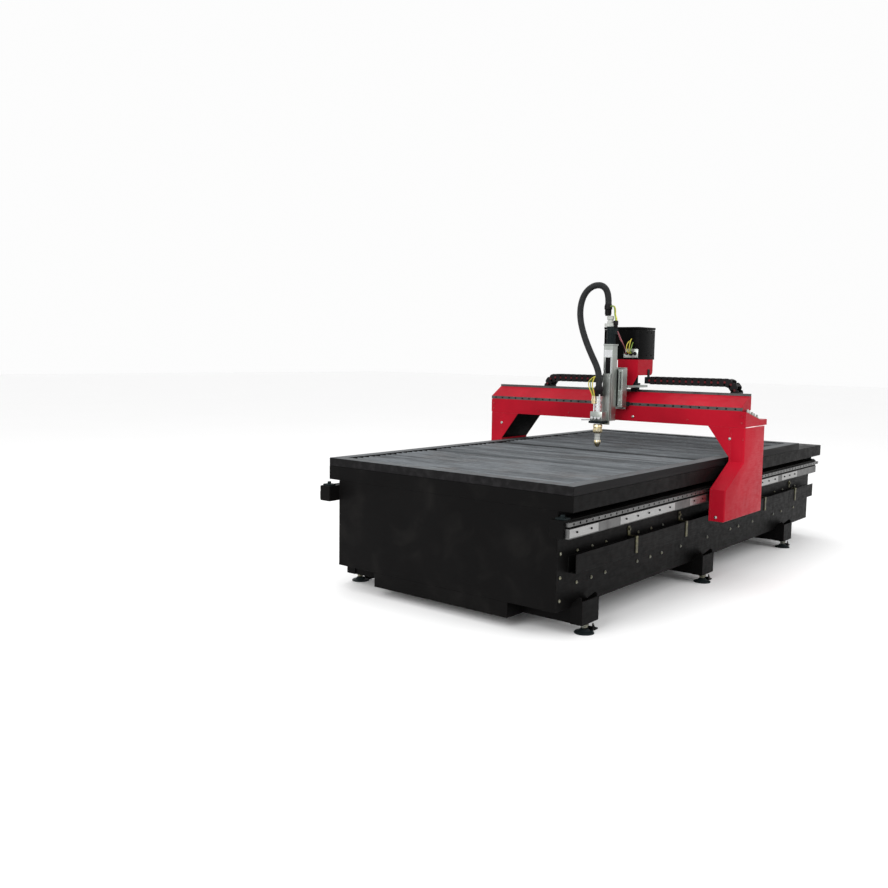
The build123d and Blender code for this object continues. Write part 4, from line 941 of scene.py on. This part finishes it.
class CUTTINGTABLE_OT_gantry_trim(bpy.types.Operator):
    """Black sheets on the haunches' undersides as painted shade, and pale strips in the gaps under the leg caps
    as a painted highlight
    """

    bl_idname = "cutting_table.gantry_trim"
    bl_label = "Gantry trim"

    def execute(self, context):
        bm = bmesh.new()
        # black sheet on each haunch's sloping underside: painted shade
        for low, high in solids_of("haunches"):
            side = 1 if high.y > 0 else -1
            outer, inner = max(abs(low.y), abs(high.y)), min(abs(low.y), abs(high.y))
            foot = Vector((0, side * outer, low.z))
            top = Vector((0, side * inner, high.z))
            slope = (top - foot).normalized()
            down = Vector((0, -side * slope.z, -abs(slope.y)))
            across = (high.x - low.x) / 2 - SHADE_SHEET_MARGIN
            run = (top - foot).length / 2 - SHADE_SHEET_MARGIN
            made = add_block(bm, (-across, -run, 0), (across, run, SHADE_SHEET))
            turn = Matrix((AXIS_X, slope, down)).transposed().to_4x4()
            middle_x = Vector(((low.x + high.x) / 2, 0, 0))
            bmesh.ops.transform(bm, matrix=Matrix.Translation((foot + top) / 2 + middle_x) @ turn, verts=made)
        finished("haunch_shade_sheets", bm, "gantry", "black_plastic", "black_paint")
        bm = bmesh.new()
        # pale strips in the gaps under the leg caps: a painted highlight
        front_low, front_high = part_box("front_leg")
        for edge, side in ((front_low.y, -1), (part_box("back_leg")[1].y, 1)):
            near, far = sorted((edge - side * GAP_LIGHT_IN, edge - side * GAP_LIGHT_OUT))
            add_block(bm, (GAP_LIGHT_START, near, front_high.z + GAP_LIGHT_OUT),
                      (front_high.x - 0.001, far, front_high.z + CAP_GAP - GAP_LIGHT_OUT))
        finished("cap_gap_highlights", bm, "gantry", "red_paint", "painted_gap_highlight")
        return {"FINISHED"}


THREAD_PITCH = 0.0025
THREAD_ROOT = 0.0105
THREAD_CREST = 0.0120
NUT_RADIUS = 0.0205


class CUTTINGTABLE_OT_feet(bpy.types.Operator):
    """Threaded stems, nuts and turned pads of the levelling feet"""

    bl_idname = "cutting_table.feet"
    bl_label = "Levelling feet"

    def execute(self, context):
        stems = bmesh.new()
        pads = bmesh.new()
        for pad, stem in zip(solids_of("foot_pads"), solids_of("foot_stems")):
            mid = middle(pad)
            radius = (pad[1].x - pad[0].x) / 2
            base = Vector((mid.x, mid.y, 0))
            top = stem[1].z
            outline = [(0, 0), (radius, 0), (radius, 0.004), (radius - 0.004, 0.008), (0.030, 0.012),
                       (0.024, 0.020), (0.019, 0.0245), (0, 0.0245)]
            add_turned(pads, base, outline, 36)
            thread = [(0, 0.022)]
            z = 0.024
            while z < top - 0.002:
                thread += [(THREAD_ROOT, z), (THREAD_CREST, z + THREAD_PITCH / 2)]
                z += THREAD_PITCH
            add_turned(stems, base, thread + [(THREAD_ROOT, top), (0, top)], 20)
            for start, end in ((top - 0.012, top - 0.001), (0.030, 0.040)):
                add_hex(stems, base + AXIS_Z * start, base + AXIS_Z * end, NUT_RADIUS)
            add_rod(stems, base + AXIS_Z * (top - 0.015), base + AXIS_Z * (top - 0.012), 0.024, 24)
        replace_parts(finished("levelling_stems", stems, "table", "zinc"), "foot_stems")
        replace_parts(finished("levelling_pads", pads, "table", "black_paint", "motor_black"), "foot_pads")
        return {"FINISHED"}


def add_link(bm, pins, centre, angle, span, sizes, step):
    """One chain link: two side plates and a cross bar above and below, with its pins in their own mesh."""
    made_before = set(bm.verts)
    pins_before = set(pins.verts)
    half = step * 0.60
    tall = sizes.thick / 2
    for x, way in ((span[0], 1), (span[1], -1)):
        near, far = sorted((x, x + way * sizes.plate))
        plate = add_block(bm, (near, -half, -tall), (far, half, tall))
        ends = [edge for edge in edges_of(plate)
                if abs(edge.verts[0].co.x - edge.verts[1].co.x) > sizes.plate / 2]
        bmesh.ops.bevel(bm, geom=ends, offset=tall * 0.55, segments=2, affect="EDGES", profile=0.5,
                        material=-1)
        add_rod(pins, (x + way * 0.001, step * 0.5, 0), (x - way * 0.0015, step * 0.5, 0), tall * 0.30, 10)
    for z in (-tall + 0.003, tall - 0.003):
        add_block(bm, (span[0] + 0.001, -sizes.bar / 2, z - 0.003),
                  (span[1] - 0.001, sizes.bar / 2, z + 0.003))
    turn = Matrix.Translation(centre) @ Matrix.Rotation(angle, 4, "X")
    for part, before in ((bm, made_before), (pins, pins_before)):
        bmesh.ops.transform(part, matrix=turn, verts=[vert for vert in part.verts if vert not in before])


def straight_links(y0, y1, z, span, sizes):
    """Links of one straight run."""
    bm, pins = bmesh.new(), bmesh.new()
    count = max(2, round(abs(y1 - y0) / sizes.pitch))
    step = abs(y1 - y0) / count
    for i in range(count):
        y = y0 + (y1 - y0) * (i + 0.5) / count
        add_link(bm, pins, Vector((0, y, z)), 0.0, span, sizes, step)
    return bm, pins


def bent_links(y, z, radius, side, span, sizes):
    """Links round the bend, from the upper run to the lower one."""
    bm, pins = bmesh.new(), bmesh.new()
    count = round(math.pi * radius / sizes.pitch)
    step = math.pi * radius / count
    for i in range(count):
        angle = math.pi * (0.5 - (i + 0.5) / count)
        centre = Vector((0, y + side * radius * math.cos(angle), z + radius * math.sin(angle)))
        add_link(bm, pins, centre, side * (angle - math.pi / 2), span, sizes, step)
    return bm, pins


class CUTTINGTABLE_OT_chains(bpy.types.Operator):
    """Cable chains behind the bridge"""

    bl_idname = "cutting_table.chains"
    bl_label = "Cable chains"

    def execute(self, context):
        sizes = context.scene.chain_sizes
        joins = {"front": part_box("control_box")[0].y - 0.030, "back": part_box("saddle")[1].y}
        for label, side in (("front", -1), ("back", 1)):
            low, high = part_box(label + "_chain")
            span = (low.x, high.x)
            outer = (high.z - low.z) / 2
            radius = outer - sizes.thick / 2
            mid_z = (low.z + high.z) / 2
            bend_y = low.y + outer if side < 0 else high.y - outer
            fixed_y = high.y if side < 0 else low.y
            carriage_y = joins[label]
            lower = straight_links(fixed_y, bend_y, low.z + sizes.thick / 2, span, sizes)
            bend = bent_links(bend_y, mid_z, radius, side, span, sizes)
            upper = straight_links(bend_y, carriage_y, high.z - sizes.thick / 2, span, sizes)
            parts = ((label + "_chain_lower_run", lower, fixed_y, 2 * bend_y - fixed_y),
                     (label + "_chain_bend", bend, bend_y - 90, bend_y + 90),
                     (label + "_chain_upper_run", upper, 2 * bend_y - carriage_y, carriage_y))
            for name, (bm, pins), start, end in parts:
                pieces = (finished(name, bm, None, "black_plastic"),
                          finished(name + "_pins", pins, None, "black_plastic", "red_plastic"))
                for piece in pieces:
                    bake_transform(piece)
                    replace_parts(piece, label + "_chain")
        return {"FINISHED"}


HOSE_ROUTE = (
    (-0.168, -0.075, 1.760), (-0.168, -0.075, 1.826), (-0.181, -0.042, 1.884), (-0.195, 0.026, 1.886),
    (-0.207, 0.086, 1.836), (-0.215, 0.112, 1.752), (-0.223, 0.106, 1.656), (-0.232, 0.066, 1.546),
    (-0.241, 0.008, 1.436), (-0.250, -0.056, 1.334), (-0.260, -0.075, 1.268), (-0.260, -0.075, 1.215),
)


class CUTTINGTABLE_OT_hose(bpy.types.Operator):
    """Torch hose in its woven sleeve, looping from the gland to the torch"""

    bl_idname = "cutting_table.hose"
    bl_label = "Torch hose"

    def execute(self, context):
        sizes = context.scene.hose_sizes
        line = nurbs_line("hose line", HOSE_ROUTE, sizes.diameter / 2)
        graph = bpy.context.evaluated_depsgraph_get()
        mesh = bpy.data.meshes.new_from_object(line.evaluated_get(graph))
        curve = line.data
        bpy.data.objects.remove(line)
        bpy.data.curves.remove(curve)
        mesh.shade_smooth()
        hose = bpy.data.objects.new("torch_hose_sleeve", mesh)
        bpy.context.scene.collection.objects.link(hose)
        mesh.materials.clear()
        mesh.materials.append(finishes["hose_rubber"])
        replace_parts(hose, "torch_hose")
        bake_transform(hose)
        line_points(HOSE_ROUTE)
        return {"FINISHED"}


CONNECTOR = ((0, 0), (0.84, 0), (0.84, 0.18), (0.70, 0.22), (0.70, 0.34), (0.90, 0.38), (0.90, 0.60),
             (0.80, 0.70), (0, 0.70))
PLUG = ((0, 0), (0.008, 0), (0.011, 0.006), (0.011, 0.024), (0, 0.024))
# name, sideways shift, bulge and finish of each wire
CONNECTOR_WIRES = (("connector_wire_a", 0.000, 0.030, "yellow_wire"),
                   ("connector_wire_b", 0.009, 0.024, "yellow_wire"),
                   ("connector_wire_c", -0.009, 0.027, "green_wire"))
SOFT_EDGE = 0.0006


class CUTTINGTABLE_OT_gland(bpy.types.Operator):
    """Gland that grips the hose, with the connector and its wires below"""

    bl_idname = "cutting_table.gland"
    bl_label = "Gland and connector"

    def execute(self, context):
        low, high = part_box("hose_gland")
        mid = middle((low, high))
        radius = min(high.x - low.x, high.y - low.y) / 2
        base = Vector((mid.x, mid.y, low.z))
        tall = high.z - low.z
        bm = bmesh.new()
        outline = [(0, 0), (0.72, 0), (0.72, 0.10)]
        for i in range(6):
            z = 0.12 + 0.065 * i
            outline += [(0.86, z), (0.86, z + 0.04), (0.76, z + 0.05)]
        outline += [(1, 0.56), (1, 0.80), (0.94, 0.90), (0.86, 1), (0, 1)]
        add_turned(bm, base, scaled(outline, radius, tall), 36)
        add_hex(bm, base + AXIS_Z * tall * 0.58, base + AXIS_Z * tall * 0.74, radius * 1.06)
        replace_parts(finished("hose_gland_body", bm, "carriage", "black_plastic"), "hose_gland")

        low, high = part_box("lift_connector")
        mid = middle((low, high))
        half = min(high.x - low.x, high.y - low.y) / 2
        tall = high.z - low.z
        bm = bmesh.new()
        chamfer_block(bm, (low.x, low.y, low.z), (high.x, high.y, low.z + tall * 0.30), 0.003)
        base = Vector((mid.x, mid.y, low.z + tall * 0.30))
        add_turned(bm, base, scaled(CONNECTOR, half, tall), 32)
        body = finished("connector_body", bm, "carriage", "white_plastic", bevel=SOFT_EDGE)
        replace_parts(body, "lift_connector")
        bm = bmesh.new()
        chamfer_block(bm, (mid.x - 0.016, low.y - 0.020, low.z + 0.012),
                      (mid.x + 0.016, low.y + 0.002, low.z + 0.040), 0.003)
        add_turned(bm, (mid.x, low.y - 0.012, low.z - 0.012), PLUG, 20)
        finished("connector_plug", bm, "carriage", "black_plastic", bevel=SOFT_EDGE)
        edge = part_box("hose_gland")[0].y
        for name, shift, bulge, tint in CONNECTOR_WIRES:
            x = mid.x + shift
            route = ((x, edge + 0.004, 1.744), (x, edge - bulge * 0.5, 1.752), (x, edge - bulge, 1.728),
                     (x, edge - bulge, 1.690), (x, low.y - 0.012, 1.664), (x, low.y - 0.010, low.z + 0.036))
            wire(name, route, context.scene.hose_sizes.wire, "carriage", "black_plastic", tint)
        return {"FINISHED"}


# screw heads as (radius, height)
HOUSING_SCREW = (0.0032, 0.0022)
COVER_SCREW = (0.0035, 0.003)
PLATE_SCREW = (0.0038, 0.0028)
SADDLE_SCREW = (0.0055, 0.0045)
SLOT_HALF = 0.019      # half the width of the slot in the lift's housing
FOLD_PITCH = 0.009     # spacing of the bellows' folds
TRIM = 0.0016


class CUTTINGTABLE_OT_lift(bpy.types.Operator):
    """Lift motor, housing trim, side plate fittings and saddle screws"""

    bl_idname = "cutting_table.lift"
    bl_label = "Height lift"

    def execute(self, context):
        low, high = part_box("lift_motor")
        mid = middle((low, high))
        radius = (high.x - low.x) / 2
        tall = high.z - low.z
        bm = bmesh.new()
        base = Vector((mid.x, mid.y, low.z))
        outline = [(0, 0), (1, 0), (1, 0.07), (0.90, 0.08)]
        for i in range(9):
            z = 0.10 + 0.072 * i
            outline += [(0.90, z), (0.97, z + 0.012), (0.97, z + 0.045), (0.90, z + 0.057)]
        outline += [(0.90, 0.77), (1, 0.78), (1, 0.97), (0.94, 1), (0, 1)]
        add_turned(bm, base, scaled(outline, radius, tall), 40)
        for sx, sy in product(SIDES, SIDES):
            spot = base + Vector((sx, sy, 0)) * radius * 0.62 + AXIS_Z * tall
            add_screw(bm, spot, AXIS_Z, *COVER_SCREW)
        add_block(bm, (mid.x - 0.016, low.y - 0.010, high.z - 0.050),
                  (mid.x + 0.016, low.y + 0.010, high.z - 0.012))
        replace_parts(finished("lift_motor_case", bm, "carriage", "motor_black", bevel=SOFT_EDGE), "lift_motor")

        low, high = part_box("lift_housing")
        slot_low, slot_high = low.z + 0.015, low.z + 0.420
        mid_y = (low.y + high.y) / 2
        front = low.x
        bm = bmesh.new()
        for side in SIDES:
            y = mid_y + side * (SLOT_HALF + 0.003)
            add_block(bm, (front - TRIM, y - 0.002, slot_low + 0.20), (front, y + 0.002, slot_high))
        add_block(bm, (front - TRIM, mid_y - 0.030, slot_high + 0.004),
                  (front, mid_y + 0.030, slot_high + 0.052))
        for side in SIDES:
            for z in (slot_high + 0.014, slot_high + 0.042, slot_low + 0.33, slot_low + 0.25):
                add_screw(bm, (front - 0.0010, mid_y + side * 0.026, z), -AXIS_X, *HOUSING_SCREW)
        for z in (low.z + 0.04, low.z + 0.17, low.z + 0.30, low.z + 0.44):
            for x in (low.x + 0.010, low.x + 0.054):
                add_screw(bm, (x, low.y, z), -AXIS_Y, *HOUSING_SCREW)
                add_screw(bm, (x, high.y, z), AXIS_Y, *HOUSING_SCREW)
        finished("housing_trim", bm, "carriage", "aluminium", "chrome")

        bm = bmesh.new()
        slide_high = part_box("lift_slide")[1]
        add_block(bm, (front + 0.0075, mid_y - SLOT_HALF, slide_high.z + 0.004),
                  (front + 0.0090, mid_y + SLOT_HALF, slot_high))
        for i in range(11):
            z = slide_high.z + 0.008 + i * FOLD_PITCH
            add_block(bm, (front + 0.0035, mid_y - SLOT_HALF + 0.001, z),
                      (front + 0.0076, mid_y + SLOT_HALF - 0.001, z + FOLD_PITCH / 2))
        finished("slot_bellows", bm, "carriage", "black_plastic")

        bm = bmesh.new()
        chamfer_block(bm, (front + 0.010, high.y, 1.318), (front + 0.034, high.y + 0.007, 1.412), 0.0015)
        finished("limit_strip", bm, "carriage", "red_paint", "red_plastic")

        low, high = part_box("lift_side_plate")
        bm = bmesh.new()
        rows = (low.z + 0.018, (low.z + high.z) / 2 - 0.02, high.z - 0.010)
        screw_grid(bm, (low.x,), (low.y + 0.006, high.y - 0.006), rows, -AXIS_X, PLATE_SCREW)
        x, y = low.x + 0.020, low.y + 0.018
        add_rod(bm, (x, y, high.z - 0.150), (x, y, high.z - 0.012), 0.0042, 16)
        add_rod(bm, (low.x - 0.002, y, low.z + 0.05), (low.x, y, low.z + 0.05), 0.009, 20)
        finished("side_plate_fittings", bm, "carriage", "aluminium", "chrome")

        low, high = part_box("saddle")
        bm = bmesh.new()
        rows = (low.z + 0.03, low.z + 0.12, high.z - 0.02)
        screw_grid(bm, (low.x,), (low.y + 0.030, high.y - 0.012), rows, -AXIS_X, SADDLE_SCREW)
        finished("saddle_screws", bm, "carriage", "zinc", "black_plastic")
        return {"FINISHED"}


GAS_LINES = (("gas_line_a", "yellow_wire", 0.034), ("gas_line_b", "green_wire", 0.026),
             ("gas_line_c", "yellow_wire", 0.018))
GRIP = 1.150           # height where the torch's head begins
HEAD = ((0, 0), (0.80, 0), (0.92, 0.004), (0.92, 0.030), (1, 0.034), (1, 0.058))
BAND = ((0, 0), (0.84, 0), (0.84, 0.012), (0, 0.012))
KNOB = ((0, 0), (0.006, 0), (0.006, 0.003), (0.0105, 0.004), (0.0112, 0.008), (0.0095, 0.0125), (0, 0.0130))
TIP = ((0, 0.004), (0.003, 0.004), (0.004, 0.0), (0.010, 0.0), (0.016, 0.012), (0.0205, 0.020),
       (0.0225, 0.024), (0.0225, 0.040), (0.0205, 0.044), (0, 0.044))
SHAFT = ((0, 0.043), (0.0195, 0.043), (0.0195, 0.060), (0.0180, 0.062), (0.0180, 0.070), (0.0195, 0.072),
         (0.0195, 0.094), (0, 0.094))
COLLAR = ((0, 0.092), (0.84, 0.092), (0.98, 0.098), (1, 0.104), (1, 0.116), (0.90, 0.120), (0.90, 0.126),
          (1, 0.130), (1, 0.144))


class CUTTINGTABLE_OT_torch(bpy.types.Operator):
    """Torch head, rods, clamp with its knobs, gold collar and tip"""

    bl_idname = "cutting_table.torch"
    bl_label = "Torch"

    def execute(self, context):
        low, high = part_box("torch_body")
        mid = middle((low, high))
        radius = (high.x - low.x) / 2
        head = bmesh.new()
        outline = scaled(HEAD, radius) + [(radius * 0.86, high.z - GRIP), (0, high.z - GRIP)]
        add_turned(head, (mid.x, mid.y, GRIP), outline, 36)
        finished("torch_head", head, "torch_lifter", "black_plastic")
        rods = bmesh.new()
        holder_low, holder_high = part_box("torch_holder")
        add_rod(rods, (mid.x, mid.y, low.z), (mid.x, mid.y, GRIP), radius * 0.72, 32)
        for i in range(3):
            z = 1.060 + i * 0.028
            add_turned(rods, (mid.x, mid.y, z), scaled(BAND, radius), 32)
        for shift in (-0.020, 0.020):
            add_rod(rods, (mid.x - 0.022, mid.y + shift, holder_high.z - 0.004),
                    (mid.x - 0.022, mid.y + shift, GRIP + 0.012), 0.0050, 16)
        body = finished("torch_rods", rods, "torch_lifter", "chrome")
        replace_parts(body, "torch_body")

        clamp = bmesh.new()
        chamfer_block(clamp, (holder_low.x + 0.012, holder_low.y, holder_low.z + 0.016),
                      (holder_high.x, holder_high.y, holder_high.z), 0.003)
        holder = finished("torch_clamp", clamp, "torch_lifter", "chrome", "aluminium")
        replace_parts(holder, "torch_holder")
        knobs = bmesh.new()
        for i in range(3):
            y = holder_low.y + 0.018 + i * 0.026
            add_turned(knobs, (holder_low.x + 0.013, y, holder_low.z + 0.036), KNOB, 24, -AXIS_X)
        add_rod(knobs, (holder_low.x + 0.030, holder_high.y, holder_low.z + 0.022),
                (holder_low.x + 0.030, holder_high.y + 0.075, holder_low.z + 0.018), 0.0045, 16)
        finished("clamp_knobs", knobs, "torch_lifter", "chrome")
        plate = bmesh.new()
        chamfer_block(plate, (holder_low.x, holder_low.y - 0.004, holder_low.z),
                      (holder_high.x, holder_high.y + 0.004, holder_low.z + 0.016), 0.003)
        finished("clamp_foot", plate, "torch_lifter", "black_plastic", "motor_black")

        low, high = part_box("torch_nozzle")
        tip_radius = min(high.x - low.x, high.y - low.y) / 2
        base = (mid.x, mid.y, low.z)
        tall = high.z - low.z
        tip = bmesh.new()
        add_turned(tip, base, TIP, 36)
        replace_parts(finished("torch_tip", tip, "torch_lifter", "brass"), "torch_nozzle")
        shaft = bmesh.new()
        add_turned(shaft, base, SHAFT, 36)
        finished("torch_shaft", shaft, "torch_lifter", "brass", "white_plastic")
        collar = bmesh.new()
        outline = scaled(COLLAR, tip_radius) + [(tip_radius * 0.86, tall), (0, tall)]
        add_turned(collar, base, outline, 40)
        finished("torch_collar", collar, "torch_lifter", "brass")

        fittings = bmesh.new()
        places = ((mid.x - 0.020, mid.y + 0.034), (mid.x + 0.004, mid.y + 0.041),
                  (mid.x - 0.034, mid.y + 0.012))
        for x, y in places:
            add_hex(fittings, (x, y, 1.118), (x, y, 1.130), 0.0085)
            add_rod(fittings, (x, y, 1.100), (x, y, 1.150), 0.0052, 16)
            add_rod(fittings, (x, y, 1.106), (mid.x, mid.y, 1.106), 0.0045, 12)
        finished("gas_fittings", fittings, "torch_lifter", "brass")
        hose_x, hose_y = HOSE_ROUTE[-2][:2]
        for (x, y), (name, tint, bow) in zip(places, GAS_LINES):
            out = 0.020 + bow * 0.6
            route = ((x, y, 1.150), (x, y + bow * 0.3, 1.176), (x, y + bow, 1.215),
                     (x + 0.004, y + bow, 1.250), (hose_x - 0.004, hose_y + out, 1.276),
                     (hose_x, hose_y + 0.019, 1.284))
            wire(name, route, context.scene.hose_sizes.wire, "torch_lifter", "black_plastic", tint)
        slide_low, slide_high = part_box("lift_slide")
        bm = bmesh.new()
        rows = (slide_low.z + 0.15, slide_low.z + 0.22, slide_high.z - 0.03)
        columns = (slide_low.y + 0.008, slide_high.y - 0.008)
        screw_grid(bm, (slide_low.x,), columns, rows, -AXIS_X, COVER_SCREW)
        finished("slide_screws", bm, "torch_lifter", "aluminium", "chrome")
        return {"FINISHED"}


LID_SCREW = (0.004, 0.002)
CONNECTOR_SCREW = (0.003, 0.002)
BOX_GLAND = ((0, 0), (1, 0), (1, 0.004), (0.78, 0.005), (0.78, 0.011), (0.55, 0.015), (0, 0.015))
ROLLER = ((0, 0), (0.014, 0), (0.017, 0.003), (0.017, 0.009), (0.014, 0.012), (0, 0.012))


class CUTTINGTABLE_OT_control(bpy.types.Operator):
    """Control box with its lid, front plate, glands and wires, and the rollers under its bracket"""

    bl_idname = "cutting_table.control"
    bl_label = "Control box"

    def execute(self, context):
        low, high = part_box("control_box")
        bm = bmesh.new()
        chamfer_block(bm, (low.x + 0.002, low.y + 0.002, low.z),
                      (high.x - 0.002, high.y - 0.002, high.z - 0.018), 0.0025)
        chamfer_block(bm, (low.x, low.y, high.z - 0.0165), (high.x, high.y, high.z), 0.0025)
        columns = (low.x + 0.05, low.x + 0.12, low.x + 0.19)
        screw_grid(bm, columns, (low.y + 0.002,), (low.z + 0.030, high.z - 0.036), -AXIS_Y, LID_SCREW)
        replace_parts(finished("control_case", bm, "carriage", "box_black"), "control_box")

        bm = bmesh.new()
        face = low.x + 0.002
        chamfer_block(bm, (face - 0.003, low.y + 0.004, low.z + 0.012),
                      (face, low.y + 0.112, low.z + 0.072), 0.001)
        rows = (low.z + 0.018, low.z + 0.066)
        screw_grid(bm, (face - 0.003,), (low.y + 0.010, low.y + 0.106), rows, -AXIS_X, CONNECTOR_SCREW)
        finished("connector_plate", bm, "carriage", "aluminium")
        bm = bmesh.new()
        for y, radius in ((low.y + 0.026, 0.012), (low.y + 0.056, 0.015), (low.y + 0.088, 0.010)):
            seat = (face - 0.003, y, low.z + 0.040)
            add_turned(bm, seat, scaled(BOX_GLAND, radius), 24, -AXIS_X)
        finished("box_glands", bm, "carriage", "black_plastic")
        size = context.scene.hose_sizes.wire
        tuft = ((0.000, 0.018, "yellow_wire"), (0.010, 0.026, "yellow_wire"), (-0.010, 0.022, "green_wire"))
        for i, (shift, bow, tint) in enumerate(tuft):
            y = low.y + 0.056 + shift
            top = low.z + 0.135 - 0.012 * i
            route = ((face - 0.016, y, low.z + 0.042), (face - 0.016 - bow, y, low.z + 0.052),
                     (face - 0.012 - bow, y + shift, low.z + 0.090), (face - 0.012, y + shift * 0.5, top),
                     (face, y, top + 0.004))
            wire("box_wire_%d" % (i + 1), route, size, "carriage", "black_plastic", tint)
        motor_low, motor_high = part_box("lift_motor")
        mid_x = (motor_low.x + motor_high.x) / 2
        start_z = motor_high.z - 0.030
        for name, shift, tint in (("motor_cable_a", 0.0, "pink_wire"),
                                  ("motor_cable_b", 0.010, "black_plastic")):
            start = Vector((mid_x + 0.008 + shift, motor_low.y - 0.008, start_z))
            end = Vector((face - 0.016, low.y + 0.088 + shift * 0.4, low.z + 0.040))
            sag = Vector((0.0, -0.012, -0.016 - shift))
            route = (start, start.lerp(end, 0.12) + sag * 0.3, start.lerp(end, 0.45) + sag,
                     start.lerp(end, 0.75) + sag, end + Vector((-0.022, 0, 0.004)), end)
            wire(name, route, size * 1.5, "carriage", "black_plastic", tint)

        arm_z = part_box("saddle_blocks")[1].z
        bm = bmesh.new()
        for y in (low.y + 0.020, low.y + 0.140):
            add_turned(bm, (0.060, y, arm_z - 0.010), ROLLER, 28)
        finished("bracket_rollers", bm, "carriage", "black_plastic")
        return {"FINISHED"}


CAP_END_X = 0.230      # where the cap's sloping top ends
CAP_END_Z = 1.022
CAP_GLAND = ((0, 0), (0.7, 0), (0.7, 0.010), (0.55, 0.014), (0.55, 0.024), (0.40, 0.028), (0, 0.028))
# x, y and nut radius of each fitting
CAP_GLANDS = ((0.050, -0.968, 0.013), (0.085, -0.962, 0.016), (0.128, -0.966, 0.014), (0.172, -0.960, 0.016),
              (0.212, -0.966, 0.012))


class CUTTINGTABLE_OT_fittings(bpy.types.Operator):
    """Cable fittings on the front leg's cap"""

    bl_idname = "cutting_table.fittings"
    bl_label = "Small fittings"

    def execute(self, context):
        cap_low, cap_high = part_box("leg_caps")
        slope = (CAP_END_Z - cap_high.z) / (CAP_END_X - cap_low.x)
        bm = bmesh.new()
        nuts = bmesh.new()
        for x, y, radius in CAP_GLANDS:
            z = cap_high.z + slope * (x - cap_low.x)
            add_turned(bm, (x, y, z), scaled(CAP_GLAND, radius), 24)
            add_hex(nuts, (x, y, z), (x, y, z + 0.009), radius)
        finished("cap_glands", bm, "gantry", "zinc", "white_plastic")
        finished("cap_gland_nuts", nuts, "gantry", "zinc")
        return {"FINISHED"}


# name, place, size and share of the key power
LIGHTS = (("Key light", (-1.0, -7.0, 5.0), 4.0, 0.7), ("Fill light", (-7.5, -0.5, 3.6), 4.0, 1.5),
          ("Top light", (0.5, 1.0, 6.5), 5.0, 0.6))
LIGHT_AIM = Vector((0, 0, 0.7))


class CUTTINGTABLE_OT_stage(bpy.types.Operator):
    """Camera, pale floor and soft light"""

    bl_idname = "cutting_table.stage"
    bl_label = "Stage"

    def execute(self, context):
        scene = context.scene
        sizes = scene.stage_sizes
        camera = bpy.data.cameras.new("Camera")
        camera.sensor_width = 36.0
        camera.lens = sizes.lens
        camera.clip_end = 400.0
        viewer = bpy.data.objects.new("Camera", camera)
        scene.collection.objects.link(viewer)
        turn = (Matrix.Rotation(sizes.heading - math.pi / 2, 4, "Z")
                @ Matrix.Rotation(math.pi / 2 - sizes.pitch, 4, "X")
                @ Matrix.Rotation(sizes.roll, 4, "Z"))
        viewer.matrix_world = Matrix.Translation(sizes.place) @ turn
        scene.camera = viewer

        bm = bmesh.new()
        bmesh.ops.create_grid(bm, x_segments=2, y_segments=2, size=sizes.floor / 2)
        mesh = bpy.data.meshes.new("Floor")
        bm.to_mesh(mesh)
        bm.free()
        floor = bpy.data.objects.new("Floor", mesh)
        mesh.materials.append(studio_floor("Studio floor"))
        scene.collection.objects.link(floor)

        world = bpy.data.worlds.new("Soft sky")
        world.use_nodes = True
        sky = world.node_tree.nodes["Background"]
        sky.inputs["Color"].default_value = (1.0, 1.0, 1.0, 1.0)
        sky.inputs["Strength"].default_value = sizes.sky
        scene.world = world
        for name, place, size, share in LIGHTS:
            light = bpy.data.lights.new(name, "AREA")
            light.energy = sizes.key * share
            light.size = size
            lamp = bpy.data.objects.new(name, light)
            scene.collection.objects.link(lamp)
            turn = (LIGHT_AIM - Vector(place)).to_track_quat("-Z", "Y").to_matrix().to_4x4()
            lamp.matrix_world = Matrix.Translation(place) @ turn
        scene.view_settings.view_transform = "Standard"
        return {"FINISHED"}


OPERATORS = (CUTTINGTABLE_OT_paint, CUTTINGTABLE_OT_rounding, CUTTINGTABLE_OT_stage, CUTTINGTABLE_OT_hose,
             CUTTINGTABLE_OT_gland, CUTTINGTABLE_OT_guides, CUTTINGTABLE_OT_racks, CUTTINGTABLE_OT_slats,
             CUTTINGTABLE_OT_fasteners, CUTTINGTABLE_OT_gantry_trim, CUTTINGTABLE_OT_feet,
             CUTTINGTABLE_OT_chains, CUTTINGTABLE_OT_lift, CUTTINGTABLE_OT_torch, CUTTINGTABLE_OT_control,
             CUTTINGTABLE_OT_fittings)


class VIEW3D_PT_cutting_table(bpy.types.Panel):
    """Lists the cutting table's sizes, colours and operators"""

    bl_label = "Cutting table"
    bl_idname = "VIEW3D_PT_cutting_table"
    bl_space_type = "VIEW_3D"
    bl_region_type = "UI"
    bl_category = "Cutting table"

    def draw(self, context):
        for name, group in GROUPS.items():
            box = self.layout.box()
            box.label(text=group.__doc__)
            for field in group.__annotations__:
                box.prop(getattr(context.scene, name), field)
        for operator in OPERATORS:
            self.layout.operator(operator.bl_idname)


CLASSES = (*GROUPS.values(), *OPERATORS, VIEW3D_PT_cutting_table)


def register():
    for item in CLASSES:
        bpy.utils.register_class(item)
    for name, group in GROUPS.items():
        setattr(bpy.types.Scene, name, PointerProperty(type=group))


def unregister():
    for name in GROUPS:
        delattr(bpy.types.Scene, name)
    for item in reversed(CLASSES):
        bpy.utils.unregister_class(item)


def main():
    """Dresses the frame."""
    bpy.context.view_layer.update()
    register()
    for operator in OPERATORS:
        group, name = operator.bl_idname.split(".")
        getattr(getattr(bpy.ops, group), name)()


if __name__ == "__main__":
    main()
